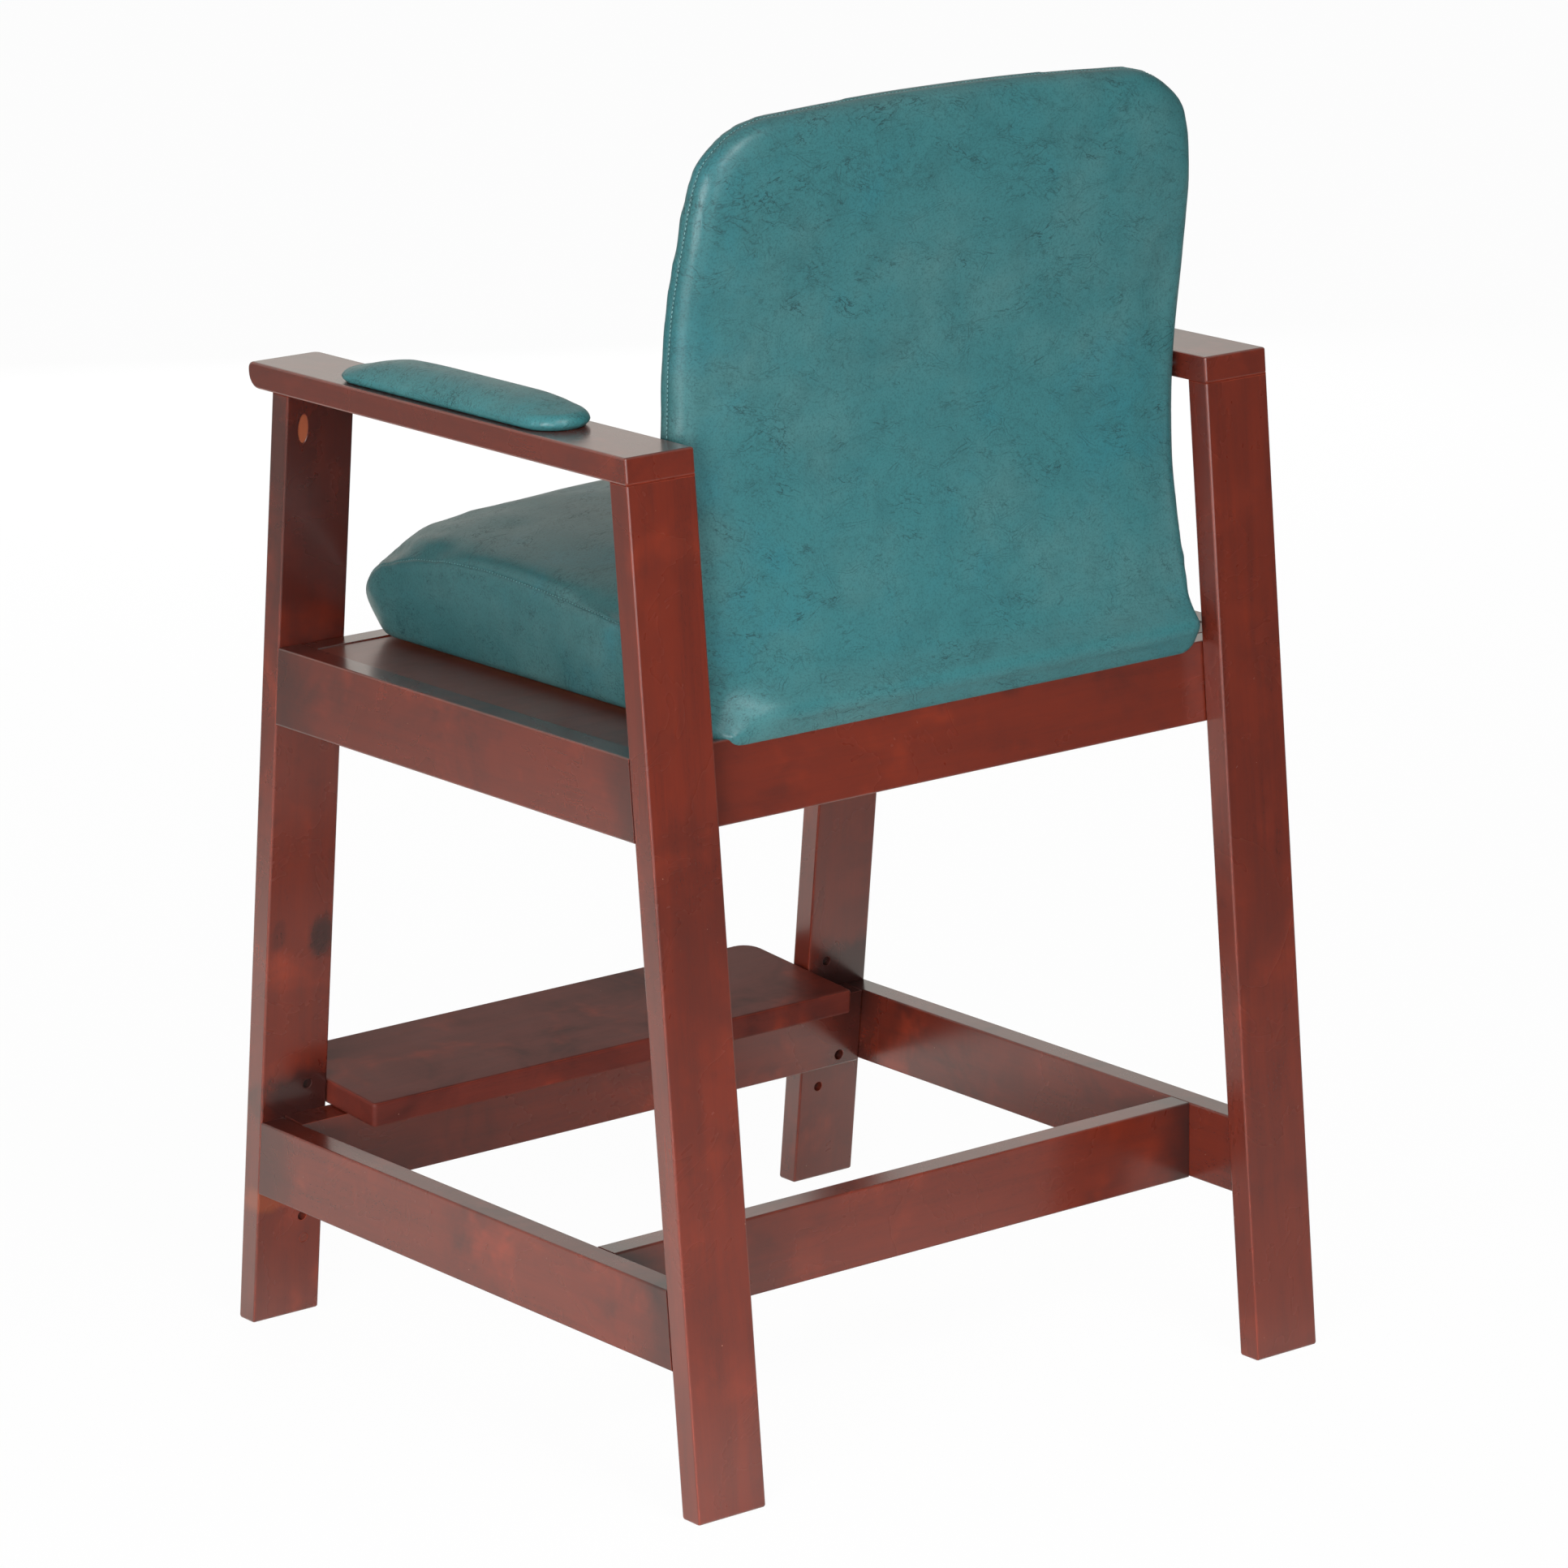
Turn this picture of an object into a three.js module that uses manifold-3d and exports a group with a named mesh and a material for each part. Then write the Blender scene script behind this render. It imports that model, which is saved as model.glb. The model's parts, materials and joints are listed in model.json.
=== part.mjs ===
// A tall wooden hip chair with a padded seat, a padded contoured back, arm pads and a footrest.
// Millimetres, +Z up. The sitter faces -Y, and +X is the sitter's left. The floor is z = 0, and
// x = y = 0 is the middle of the overall width and depth.
import * as THREE from 'three';
import { mergeVertices } from 'three/addons/utils/BufferGeometryUtils.js';
import Module from 'manifold-3d';

// Overall sizes and the level that everything about the seat is measured from
const overallWidth = 635;
const seatTop = 589;               // top of the seat's side rails
const backHeight = 474;            // from the seat board to the top of the back

// Clearances and the finish of wooden edges
const fitGap = 0.3;                // between wooden pieces that meet
const pegGap = 0.2;                // around shanks, plugs and pins
const overrun = 30;                // how far a cutting shape passes what it cuts
const weldDistance = 0.0005;
const edgeEase = 1.6;
const footRound = 2.6;
const arcSteps = 6;
const easeSteps = 2;
const turnedSides = 24;
const screwSides = 12;
const curveSteps = 18;

// Legs
const legWidth = 64.2;
const legDepth = 21.8;             // measured level, from front to back
const footSpan = 607;              // rear face of a front foot to rear face of a rear foot
const frontLeanDegrees = 6.83;     // front legs lean back towards the top
const rearLeanDegrees = 4.8;       // rear legs lean forward towards the top

// Armrests
const armTop = 818;
const armThick = 21.1;
const armOverhang = 33.2;          // past the front leg's front face
const noseTopRound = 6;
const noseUnderRound = 13;
const armEndRound = 2.2;
const armCornerRound = 16;         // inner front corner, seen from above

// Arm pads
const padBoardWidth = 46;
const padBoardThick = 6;
const padLength = 286;
const padWidth = 57;
const padHeight = 21.5;
const padSetBack = 107;            // behind the armrest's nose
const padLift = 1.6;               // shadow gap under the padding
const padSideShares = [[0, 0.06], [0.1, 0.015], [0.2, 0], [0.32, 0.02], [0.46, 0.065]];
const padCrownShares = [[0.77, 0.62], [0.63, 0.77], [0.44, 0.9], [0.22, 0.98]];
const padNoseDropShare = 0.32;     // how much lower the padding is at its front end
const padNoseReachShare = 0.4;
const padScrewShares = [0.22, 0.78];
const padBoreDepth = 9;
const padScrewGrip = 4.5;

// Seat frame
const railThick = 22.5;
const railHeight = 65;
const apronThick = 22;
const apronDrop = 1;               // apron's top below the side rails' tops
const boardDrop = 1;               // seat board's top below the side rails' tops
const boardThick = 12;
const cleatSize = 20;

// Seat cushion
const cushionBoardThick = 9;
const cushionBoardInset = 13;
const cushionBoardCorner = 30;
const cushionClear = 4.8;          // bulge to the rear legs' inner faces
const cushionHeight = 121;
const cushionCorner = 44;
const cushionRearCorner = 12;
const cushionFrontReach = 9;       // bulge past the seat frame's front edge
const cushionSideInset = 11;       // how far the sides draw in at the base
const cushionTick = 28;            // longest step along the cushion's outline
const seatSeamShares = [[0, 0.34], [0.042, 0.372], [0.075, 0.46], [0.135, 0.565], [0.235, 0.648],
  [0.32, 0.68], [0.465, 0.7], [0.64, 0.672], [0.79, 0.64], [1, 0.6]];
const seatSideShares = [[0, 1], [0.12, 0.82], [0.32, 0.48], [0.56, 0.18], [0.8, 0], [1, 0.22]];
const seatCrownShares = [0.975, 0.93, 0.85, 0.74, 0.58, 0.38, 0.16];
const seamDrawShare = 0.3;         // how far the seam draws in, of the base's drawing in
const crownFlatness = 2.4;         // a power: higher is flatter on top
const crownEdgeShare = 0.62;
const crownCornerShare = 0.35;
const seatCrownCentreShare = 0.6;  // of the cushion's depth, from the front
const cushionScrewSpreadShare = 0.62;
const cushionScrewGrip = 6;

// Back
const backClear = 2.8;             // to the armrests' inner edges
const backBow = 24;                // how far the middle of the back bows forward
const backBehindApron = 5.8;       // apron's rear top edge to the back's plain rear face
const backCoverThick = 2.4;
const backBoardThick = 12;
const backBoardInset = 13;
const backSideBand = 14;           // seam at the rear to the edge of the front
const backDepth = 43;
const backTick = 34;
const backLineShares = [[0, 0], [0.09, 0.19], [0.2, 0.54], [0.3, 0.87], [0.41, 1], [0.53, 0.88],
  [0.67, 0.54], [0.81, 0.04], [0.92, -0.18], [1, -0.23]];
const backOutlineShares = [[0.9, 0], [0.942, 0.005], [0.974, 0.016], [0.992, 0.031], [1, 0.052],
  [0.997, 0.12], [0.994, 0.25], [0.999, 0.4], [1.004, 0.53], [1.01, 0.627], [1.006, 0.724],
  [0.992, 0.808], [0.982, 0.846], [0.965, 0.89], [0.948, 0.915], [0.922, 0.933], [0.885, 0.95],
  [0.838, 0.967], [0.778, 0.98], [0.6, 0.9905], [0.363, 0.997]];
const backRearShares = [0.3, 0.6, 0.85];
const backRimInset = 3;            // the rim draws in behind and in front of the side band
const backFrontDrop = 5;           // the front's top edge, below the rear's
const backFrontDropPower = 4;
const backCrownShares = [[0.97, 0.18], [0.9, 0.44], [0.78, 0.7], [0.58, 0.9], [0.32, 0.98]];
const rollHang = 6.5;              // padded roll's reach below the apron's top
const rollBulge = 17;              // padded roll's reach behind the back's plain rear face
const rollHeight = 54;
const rollClear = 2;               // roll to the apron's rear face
const rollShares = [[1, 0], [0.82, 0.06], [0.6, 0.28], [0.44, 0.66], [0.26, 0.94], [0.12, 1]];
const backPinLength = 53;
const backPinRadius = 3;
const backPinGrip = 19;

// Lower frame
const stretcherThick = 22.6;
const stretcherHeight = 63.8;
const stretcherLift = 116;
const crossThick = 23.2;
const crossHeight = 64.6;
const crossLift = 115.2;
const crossSetBack = 97.3;         // in front of the rear legs, at the stretcher's middle

// Footrest, bolted through one of the rows of holes in the front legs
const treadClear = 2.55;           // to the legs' inner faces
const treadAhead = 105.7;          // from its rail's rear edge to its front edge
const treadDepth = 145.6;
const treadThick = 21;
const treadRiseDegrees = 4.5;
const treadCorner = 17;
const treadRearCorner = 4;
const treadEase = 2.4;
const footRailThick = 25;
const footRailHeight = 66;
const footRailClear = 0.7;         // rail's ends to the side stretchers
const footRailBelowBolt = 9.8;
const lowestRow = 88;              // along the leg, from its foot
const rowPitch = 39.5;
const rowCount = 4;
const boltRow = 1;                 // rows below the one in use
const boltInset = 44.5;            // from the leg's outer side
const boltHoleRadius = 4.25;
const railHoleRadius = 4.65;
const boltRadius = 3.9;
const boltGrip = 18;               // bolt's reach into the rail
const boltHeadRadius = 7.2;
const boltHeadHeight = 4.4;
const boltSocketRadius = 2.9;
const boltSocketDepth = 2.6;
const boltHeadShares = [[0.5, 1], [0.84, 0.82], [1, 0.3], [1, 0]];
const washerRadius = 9.5;
const washerThick = 1.6;
const insertRadius = 6;
const insertLength = 15;
const treadScrewInset = 85.75;     // outer screws, from the tread's sides
const treadScrewGrip = 13;
const treadBoreDepth = 28;

// Screws, plugs and pockets
const screwRadius = 2.1;
const screwHeadRadius = 3.9;
const screwHeadHeight = 2.6;
const screwTip = 3;
const boreRadius = 4.6;
const apronScrewInset = 80.5;      // outer screws, from the back's sides
const apronBoreDepth = 40;
const apronScrewGrip = 14;
const apronScrewAhead = 2;         // in front of the apron's middle
const pocketRadius = 4.75;
const pocketOvalLength = 24.5;
const pocketInset = 16.1;          // from the leg's outer side
const pocketBelowArm = 28.6;       // along the leg
const pocketDepth = 14;
const pocketScrewGrip = 12;
const strayHoleInset = 46.8;
const strayHoleLift = 67.5;
const strayHoleDepth = 14;

// Places that follow from the sizes above
const { cos, sin, tan, asin, PI } = Math;
const frontLean = THREE.MathUtils.degToRad(frontLeanDegrees);
const rearLean = THREE.MathUtils.degToRad(rearLeanDegrees);
const treadRise = THREE.MathUtils.degToRad(treadRiseDegrees);
const halfWidth = overallWidth / 2;
const betweenLegs = overallWidth - 2 * legWidth;
const backWidth = betweenLegs - 2 * backClear;
const cushionWidth = betweenLegs - 2 * cushionClear;
const treadWidth = betweenLegs - 2 * treadClear;
const boltX = halfWidth - boltInset;

// The footrest's rail hangs on the bolts behind the front legs and carries the tread, whose
// front edge and the rear feet are the two ends of the overall depth
const boltAlong = lowestRow + boltRow * rowPitch;
const footRailUnder = boltAlong - footRailBelowBolt;
const footRailTop = footRailUnder + footRailHeight;
const footRailBack = fitGap + footRailThick;
const treadFrontAhead = treadAhead * cos(treadRise)
  - footRailBack * cos(frontLean) - footRailTop * sin(frontLean);
const frontFootBack = (treadFrontAhead - footSpan) / 2;
const rearFootBack = frontFootBack + footSpan;
const armUnder = armTop - armThick;
const legTop = armUnder - fitGap;
const frontLegThick = legDepth * cos(frontLean);
const seatBoardTop = seatTop - boardDrop;
const seatBoardUnder = seatBoardTop - boardThick;
const apronTop = seatTop - apronDrop;
const railInner = halfWidth - railThick;

// Level places of the sloping leg faces at a height
const frontLegBack = (z) => frontFootBack + z * tan(frontLean);
const frontLegFront = (z) => frontLegBack(z) - legDepth;
const rearLegBack = (z) => rearFootBack - z * tan(rearLean);
const rearLegFront = (z) => rearLegBack(z) - legDepth;

// Materials: each call gives a mesh its own
const finishes = {
  stain: { color: 0x6f3c32, roughness: 0.35, metalness: 0 },
  vinyl: { color: 0x3f7c80, roughness: 0.55, metalness: 0 },
  plywood: { color: 0xb99463, roughness: 0.75, metalness: 0 },
  plug: { color: 0xa5663d, roughness: 0.7, metalness: 0 },
  zinc: { color: 0xb4b8bc, roughness: 0.35, metalness: 1 },
  brass: { color: 0xb08d4f, roughness: 0.4, metalness: 1 },
};

function piece(name, geometry, finish, place = [0, 0, 0]) {
  const mesh = new THREE.Mesh(geometry, new THREE.MeshStandardMaterial(finishes[finish]));
  mesh.name = name;
  mesh.position.set(...place);
  return mesh;
}

// Solids for joins and cuts
const wasm = await Module();
wasm.setup();

function toSolid(geometry) {
  const bare = new THREE.BufferGeometry();
  bare.setAttribute('position', geometry.getAttribute('position').clone());
  if (geometry.index) bare.setIndex(geometry.index.clone());
  const welded = mergeVertices(bare, weldDistance);
  const corners = [];
  for (let at = 0; at < welded.index.count; at += 3) {
    const [a, b, c] = [0, 1, 2].map((step) => welded.index.getX(at + step));
    if (a !== b && b !== c && c !== a) corners.push(a, b, c);
  }
  return new wasm.Manifold(new wasm.Mesh({
    numProp: 3,
    vertProperties: new Float32Array(welded.getAttribute('position').array),
    triVerts: new Uint32Array(corners),
  }));
}

function toGeometry(solid) {
  const mesh = solid.getMesh();
  const geometry = new THREE.BufferGeometry();
  geometry.setAttribute('position', new THREE.BufferAttribute(mesh.vertProperties, 3));
  geometry.setIndex(new THREE.BufferAttribute(mesh.triVerts, 1));
  return geometry;
}

function cut(solid, ...tools) {
  return tools.reduce((left, tool) => left.subtract(tool), solid);
}

// Keeps the part of a solid that lies on the side of a sloping face that its normal points to
function keepBeyond(solid, normal, point) {
  const facing = new THREE.Vector3(...normal).normalize();
  return solid.trimByPlane(facing.toArray(), facing.dot(new THREE.Vector3(...point)));
}

// Even steps from one value to another, with both ends
function ramp(from, to, count) {
  return Array.from({ length: count + 1 }, (_, step) => from + ((to - from) * step) / count);
}

// Outlines
function roundedOutline(corners, radii) {
  return corners.flatMap((corner, index) => {
    const radius = Array.isArray(radii) ? radii[index] : radii;
    const here = new THREE.Vector2(...corner);
    if (!radius) return [here];
    const before = new THREE.Vector2(...corners.at(index - 1)).sub(here).normalize();
    const after = new THREE.Vector2(...corners[(index + 1) % corners.length]).sub(here).normalize();
    const half = before.angleTo(after) / 2;
    const centre = before.clone().add(after).normalize().multiplyScalar(radius / sin(half)).add(here);
    const reach = radius / tan(half);
    const start = before.clone().multiplyScalar(reach).add(here).sub(centre).angle();
    const end = after.clone().multiplyScalar(reach).add(here).sub(centre).angle();
    const turn = ((end - start + 3 * PI) % (2 * PI)) - PI;
    return ramp(start, start + turn, arcSteps).map((angle) => new THREE.Vector2(
      centre.x + radius * cos(angle), centre.y + radius * sin(angle)));
  });
}

function rectangle(x0, y0, x1, y1) {
  return [[x0, y0], [x1, y0], [x1, y1], [x0, y1]].map((corner) => new THREE.Vector2(...corner));
}

// Adds points to an outline's long edges, so that a padded form can curve between them
function spread(points, longest) {
  return points.flatMap((point, index) => {
    const next = points[(index + 1) % points.length];
    const steps = Math.max(1, Math.round(point.distanceTo(next) / longest));
    return Array.from({ length: steps }, (_, step) => point.clone().lerp(next, step / steps));
  });
}

// A smooth value from a table of shares
function along(table, at) {
  const last = table.length - 1;
  const index = Math.min(last - 1, Math.max(0, table.findIndex(([x]) => x > at) - 1));
  if (at >= table[last][0]) return table[last][1];
  const slope = (i) => {
    const [low, high] = [table[Math.max(0, i - 1)], table[Math.min(last, i + 1)]];
    return (high[1] - low[1]) / (high[0] - low[0]);
  };
  const [[x0, y0], [x1, y1]] = [table[index], table[index + 1]];
  const width = x1 - x0;
  const t = Math.max(0, (at - x0) / width);
  return y0 * (1 + 2 * t) * (1 - t) ** 2 + slope(index) * width * t * (1 - t) ** 2
    + y1 * t * t * (3 - 2 * t) + slope(index + 1) * width * t * t * (t - 1);
}

// Prisms: an outline drawn in one plane and pushed along the third axis
const acrossWidth = new THREE.Matrix4().makeBasis(
  new THREE.Vector3(0, 1, 0), new THREE.Vector3(0, 0, 1), new THREE.Vector3(1, 0, 0));
const throughDepth = new THREE.Matrix4().makeRotationX(PI / 2);

function prism(points, length, ease = 0) {
  const geometry = new THREE.ExtrudeGeometry(new THREE.Shape(points), {
    depth: length - 2 * ease, steps: 1, curveSegments: arcSteps,
    bevelEnabled: ease > 0, bevelThickness: ease, bevelSize: ease, bevelOffset: -ease,
    bevelSegments: easeSteps,
  });
  return geometry.translate(0, 0, ease);
}

// Outline in (y, z), pushed from x = from to x = to
function prismAcross(points, from, to, ease) {
  return prism(points, to - from, ease).applyMatrix4(acrossWidth).translate(from, 0, 0);
}

// Outline in (x, z), pushed from y = from to y = to
function prismThrough(points, from, to, ease) {
  return prism(points, to - from, ease).applyMatrix4(throughDepth).translate(0, to, 0);
}

// Turned pieces, standing on z = 0: a profile of [radius, height] from the axis to the axis
function turned(profile, sides = turnedSides) {
  const points = [[0, profile[0][1]], ...profile, [0, profile.at(-1)[1]]];
  const lathe = new THREE.LatheGeometry(points.map((p) => new THREE.Vector2(...p)), sides);
  return lathe.rotateX(PI / 2);
}

function rod(radius, from, to, sides) {
  return turned([[radius, from], [radius, to]], sides);
}

// A screw with its head's outer face at z = 0 and its point up
function screw(length) {
  return turned([
    [screwHeadRadius, 0], [screwHeadRadius, screwHeadHeight], [screwRadius, screwHeadHeight],
    [screwRadius, length - screwTip], [screwRadius / 2, length],
  ], screwSides);
}

// The hole for that screw: a wide bore below the head, and a narrow one around the shank
function screwHole(length, boreDepth = overrun) {
  const narrow = screwRadius + pegGap;
  return turned([
    [boreRadius, -boreDepth], [boreRadius, screwHeadHeight + fitGap],
    [narrow, screwHeadHeight + fitGap], [narrow, length + pegGap],
  ], screwSides);
}

function at(geometry, ...matrices) {
  const whole = matrices.reduce((sum, matrix) => sum.multiply(matrix), new THREE.Matrix4());
  return toSolid(geometry.clone().applyMatrix4(whole));
}

const shift = (x, y, z) => new THREE.Matrix4().makeTranslation(x, y, z);
const tip = (angle) => new THREE.Matrix4().makeRotationX(angle);

// The front legs' own frame: y is off the rear face, and z runs up the leg from the floor
const frontLegFrame = shift(0, frontFootBack, 0).multiply(tip(-frontLean));

// A padded form: rings of points, closed at both ends, with flat or crowned ends
function padded(rings) {
  const count = rings[0].length;
  const middle = (ring) => ring.reduce((sum, p) => sum.add(p), new THREE.Vector3())
    .divideScalar(count);
  const points = [middle(rings[0]), ...rings.flat(), middle(rings.at(-1))];
  const index = [];
  for (let k = 0; k < count; k += 1) {
    const next = (k + 1) % count;
    index.push(0, 1 + next, 1 + k);
    for (let ring = 0; ring < rings.length - 1; ring += 1) {
      const [low, high] = [1 + ring * count, 1 + (ring + 1) * count];
      index.push(low + k, low + next, high + next, low + k, high + next, high + k);
    }
    const top = 1 + (rings.length - 1) * count;
    index.push(top + k, top + next, points.length - 1);
  }
  const geometry = new THREE.BufferGeometry().setFromPoints(points);
  geometry.setIndex(index);
  return geometry;
}

// Puts meshes in a frame of their own
function held(place, ...meshes) {
  const holder = new THREE.Group();
  holder.applyMatrix4(place);
  holder.add(...meshes);
  return holder;
}

const chair = new THREE.Group();
const frame = new THREE.Group();
const seat = new THREE.Group();
const back = new THREE.Group();
const arms = new THREE.Group();
const footrest = new THREE.Group();
chair.add(frame, seat, back, arms, footrest);

const sides = [['left', 1], ['right', -1]];

// Runs from the outer face inwards on one side of the chair, as [low, high] along x
function span(side, outer, inner) {
  return side > 0 ? [inner, outer] : [-outer, -inner];
}

// The pocket that screws each armrest down on its front leg, drilled up from the leg's rear face
const pocketLean = asin((2 * pocketRadius) / pocketOvalLength);
const pocketLength = pocketBelowArm / cos(pocketLean) + pocketScrewGrip;
const pocketX = halfWidth - pocketInset;
const pocketAlong = legTop / cos(frontLean) - pocketBelowArm;
function pocketFrame(side) {
  return frontLegFrame.clone().multiply(shift(side * pocketX, 0, pocketAlong))
    .multiply(tip(pocketLean));
}
const pocketHead = pocketDepth - screwHeadHeight;
const pocketHole = turned([
  [pocketRadius, -overrun], [pocketRadius, pocketDepth + fitGap],
  [screwRadius + pegGap, pocketDepth + fitGap], [screwRadius + pegGap, pocketLength + pegGap],
]);

// Legs
const strayFrame = frontLegFrame.clone().multiply(shift(halfWidth - strayHoleInset, 0, strayHoleLift))
  .multiply(tip(PI / 2));

function frontLegBlank(side) {
  const outline = roundedOutline([
    [frontLegBack(0), 0], [frontLegBack(armTop), armTop], [frontLegFront(armTop), armTop],
    [frontLegFront(0), 0],
  ], [footRound, 0, 0, footRound]);
  const [low, high] = span(side, halfWidth, halfWidth - legWidth);
  return keepBeyond(toSolid(prismAcross(outline, low, high, edgeEase)), [0, 0, -1], [0, 0, legTop]);
}

function boltHoles(side) {
  return Array.from({ length: rowCount }, (_, row) => at(
    rod(boltHoleRadius, -overrun, overrun), frontLegFrame,
    shift(side * boltX, 0, lowestRow + row * rowPitch), tip(PI / 2)));
}

for (const [name, side] of sides) {
  const blank = frontLegBlank(side);
  let leg = cut(blank, ...boltHoles(side), at(pocketHole, pocketFrame(side)));
  if (side > 0) {
    leg = cut(leg, at(rod(boltHoleRadius, -strayHoleDepth, overrun), strayFrame, tip(PI)));
    const plug = at(rod(boltHoleRadius - pegGap, pegGap, strayHoleDepth - pegGap), strayFrame);
    frame.add(piece('front_leg_hole_plug', toGeometry(plug), 'stain'));
  }
  frame.add(piece(`front_leg_${name}`, toGeometry(leg), 'stain'));

  const plugBody = at(rod(pocketRadius - pegGap, -overrun, pocketHead - fitGap), pocketFrame(side));
  const flush = blank.transform(shift(0, -pegGap, 0).elements);
  frame.add(piece(`pocket_plug_${name}`, toGeometry(plugBody.intersect(flush)), 'plug'));
  frame.add(held(pocketFrame(side).multiply(shift(0, 0, pocketHead)),
    piece(`pocket_screw_${name}`, screw(pocketLength - pocketHead), 'zinc')));

  const rearOutline = roundedOutline([
    [rearLegFront(0), 0], [rearLegBack(0), 0], [rearLegBack(armTop), armTop],
    [rearLegFront(armTop), armTop],
  ], [footRound, footRound, 0, 0]);
  const [low, high] = span(side, halfWidth, halfWidth - legWidth);
  const rearLeg = keepBeyond(
    toSolid(prismAcross(rearOutline, low, high, edgeEase)), [0, 0, -1], [0, 0, legTop]);
  frame.add(piece(`rear_leg_${name}`, toGeometry(rearLeg), 'stain'));
}

// Bars that run from the front legs' rear faces to the rear legs' front faces
const behindFrontLeg = [0, cos(frontLean), -sin(frontLean)];
const beforeRearLeg = [0, -cos(rearLean), -sin(rearLean)];
function sideBar(side, thick, height, lift) {
  const [low, high] = span(side, halfWidth, halfWidth - thick);
  const outline = roundedOutline(rectangle(low, lift, high, lift + height), edgeEase);
  const bar = toSolid(prismThrough(outline, frontLegFront(0), rearLegBack(0)));
  const front = [0, frontLegBack(0) + fitGap, 0];
  const rear = [0, rearLegFront(0) - fitGap, 0];
  return toGeometry(keepBeyond(keepBeyond(bar, behindFrontLeg, front), beforeRearLeg, rear));
}

// A bar between the side bars, whose front and rear faces slope as the given places do
function crossBar(frontAt, rearAt, under, top, half, ease) {
  const outline = roundedOutline(
    [[frontAt(under), under], [rearAt(under), under], [rearAt(top), top], [frontAt(top), top]], ease);
  return prismAcross(outline, -half, half);
}

for (const [name, side] of sides) {
  frame.add(piece(`seat_side_rail_${name}`,
    sideBar(side, railThick, railHeight, seatTop - railHeight), 'stain'));
  frame.add(piece(`side_stretcher_${name}`,
    sideBar(side, stretcherThick, stretcherHeight, stretcherLift), 'stain'));
}

// Seat frame
const frontRailFront = (z) => frontLegBack(z) + fitGap;
const frontRailBack = (z) => frontRailFront(z) + railThick;
const apronBack = (z) => rearLegFront(z) - fitGap;
const apronFront = (z) => apronBack(z) - apronThick;
const railUnder = seatTop - railHeight;
const betweenRails = railInner - fitGap;
frame.add(piece('seat_front_rail',
  crossBar(frontRailFront, frontRailBack, railUnder, seatTop, betweenRails, edgeEase), 'stain'));

const crossBack = rearLegFront(crossLift + crossHeight / 2) - crossSetBack;
frame.add(piece('cross_stretcher', crossBar(
  () => crossBack - crossThick, () => crossBack, crossLift, crossLift + crossHeight,
  halfWidth - stretcherThick - fitGap, edgeEase), 'stain'));

// Back: its plain rear face is a line in (y, z) that bows forward at the middle
const backFoot = seatBoardTop + fitGap;
const backHead = seatBoardTop + backHeight;
const backRearFoot = apronBack(apronTop) - backBehindApron;
const backRear = (z) => backRearFoot
  - backBow * along(backLineShares, Math.max(0, (z - seatBoardTop) / backHeight));

// Outline of the back in (x, z), drawn in by an inset, and run on straight below its foot
function backOutline(inset, foot, below = 0) {
  const half = backWidth / 2 - inset;
  const tall = backHead - inset - foot;
  const right = backOutlineShares.map(([x, z]) => new THREE.Vector2(half * x, foot + tall * z));
  if (below > 0) right.unshift(new THREE.Vector2(right[0].x, foot - below));
  const left = right.map((p) => new THREE.Vector2(-p.x, p.y)).reverse();
  return [...right, new THREE.Vector2(0, foot + tall), ...left];
}

const backBoardFoot = backFoot + fitGap;
// A curved panel between two depths in front of the back's plain rear face
function backPanel(outline, shallow, deep, foot) {
  const heights = ramp(foot, backHead + overrun, curveSteps);
  const rear = heights.map((z) => new THREE.Vector2(backRear(z) - shallow, z));
  const front = heights.map((z) => new THREE.Vector2(backRear(z) - deep, z)).reverse();
  const slab = toSolid(prismAcross([...rear, ...front], -backWidth, backWidth));
  const reach = backDepth + backBow + rollBulge + overrun;
  const shape = toSolid(prismThrough(outline, backRearFoot - reach, backRearFoot + reach));
  return slab.intersect(shape);
}

// Screws that go up through the apron into the back board's lower edge
const apronScrewReach = backWidth / 2 - apronScrewInset;
const apronScrewX = [-apronScrewReach, 0, apronScrewReach];
const apronMiddle = (z) => (apronFront(z) + apronBack(z)) / 2 - apronScrewAhead;
const apronUnder = apronTop - railHeight;
const apronScrewLength = (railHeight - apronBoreDepth + apronScrewGrip) / cos(rearLean);
const apronScrewFoot = apronUnder + apronBoreDepth;
const apronScrewFrames = apronScrewX.map((x) => shift(x, apronMiddle(apronScrewFoot), apronScrewFoot)
  .multiply(tip(rearLean)));
const apronHoles = apronScrewFrames.map((place) => at(
  screwHole(apronScrewLength, 2 * apronBoreDepth), place));
const apron = toSolid(crossBar(apronFront, apronBack, apronUnder, apronTop, betweenRails, edgeEase));
frame.add(piece('seat_rear_apron', toGeometry(cut(apron, ...apronHoles)), 'stain'));

// Pins that hold the back between the armrests
const pinHeight = armTop - armThick / 2;
const pinY = backRear(pinHeight) - backCoverThick - backBoardThick / 2;
const pinFrames = sides.map(([, side]) => {
  const outer = halfWidth - legWidth + backPinGrip;
  return shift(side > 0 ? outer - backPinLength : -outer, pinY, pinHeight)
    .multiply(new THREE.Matrix4().makeRotationY(PI / 2));
});
const pinHoles = pinFrames.map((place) => at(
  rod(backPinRadius + pegGap, -pegGap, backPinLength + pegGap, screwSides), place));

const backBoard = cut(
  backPanel(backOutline(backBoardInset, backBoardFoot), backCoverThick + fitGap,
    backCoverThick + fitGap + backBoardThick, backBoardFoot),
  ...apronHoles, ...pinHoles);
back.add(piece('back_board', toGeometry(backBoard), 'plywood'));

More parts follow.
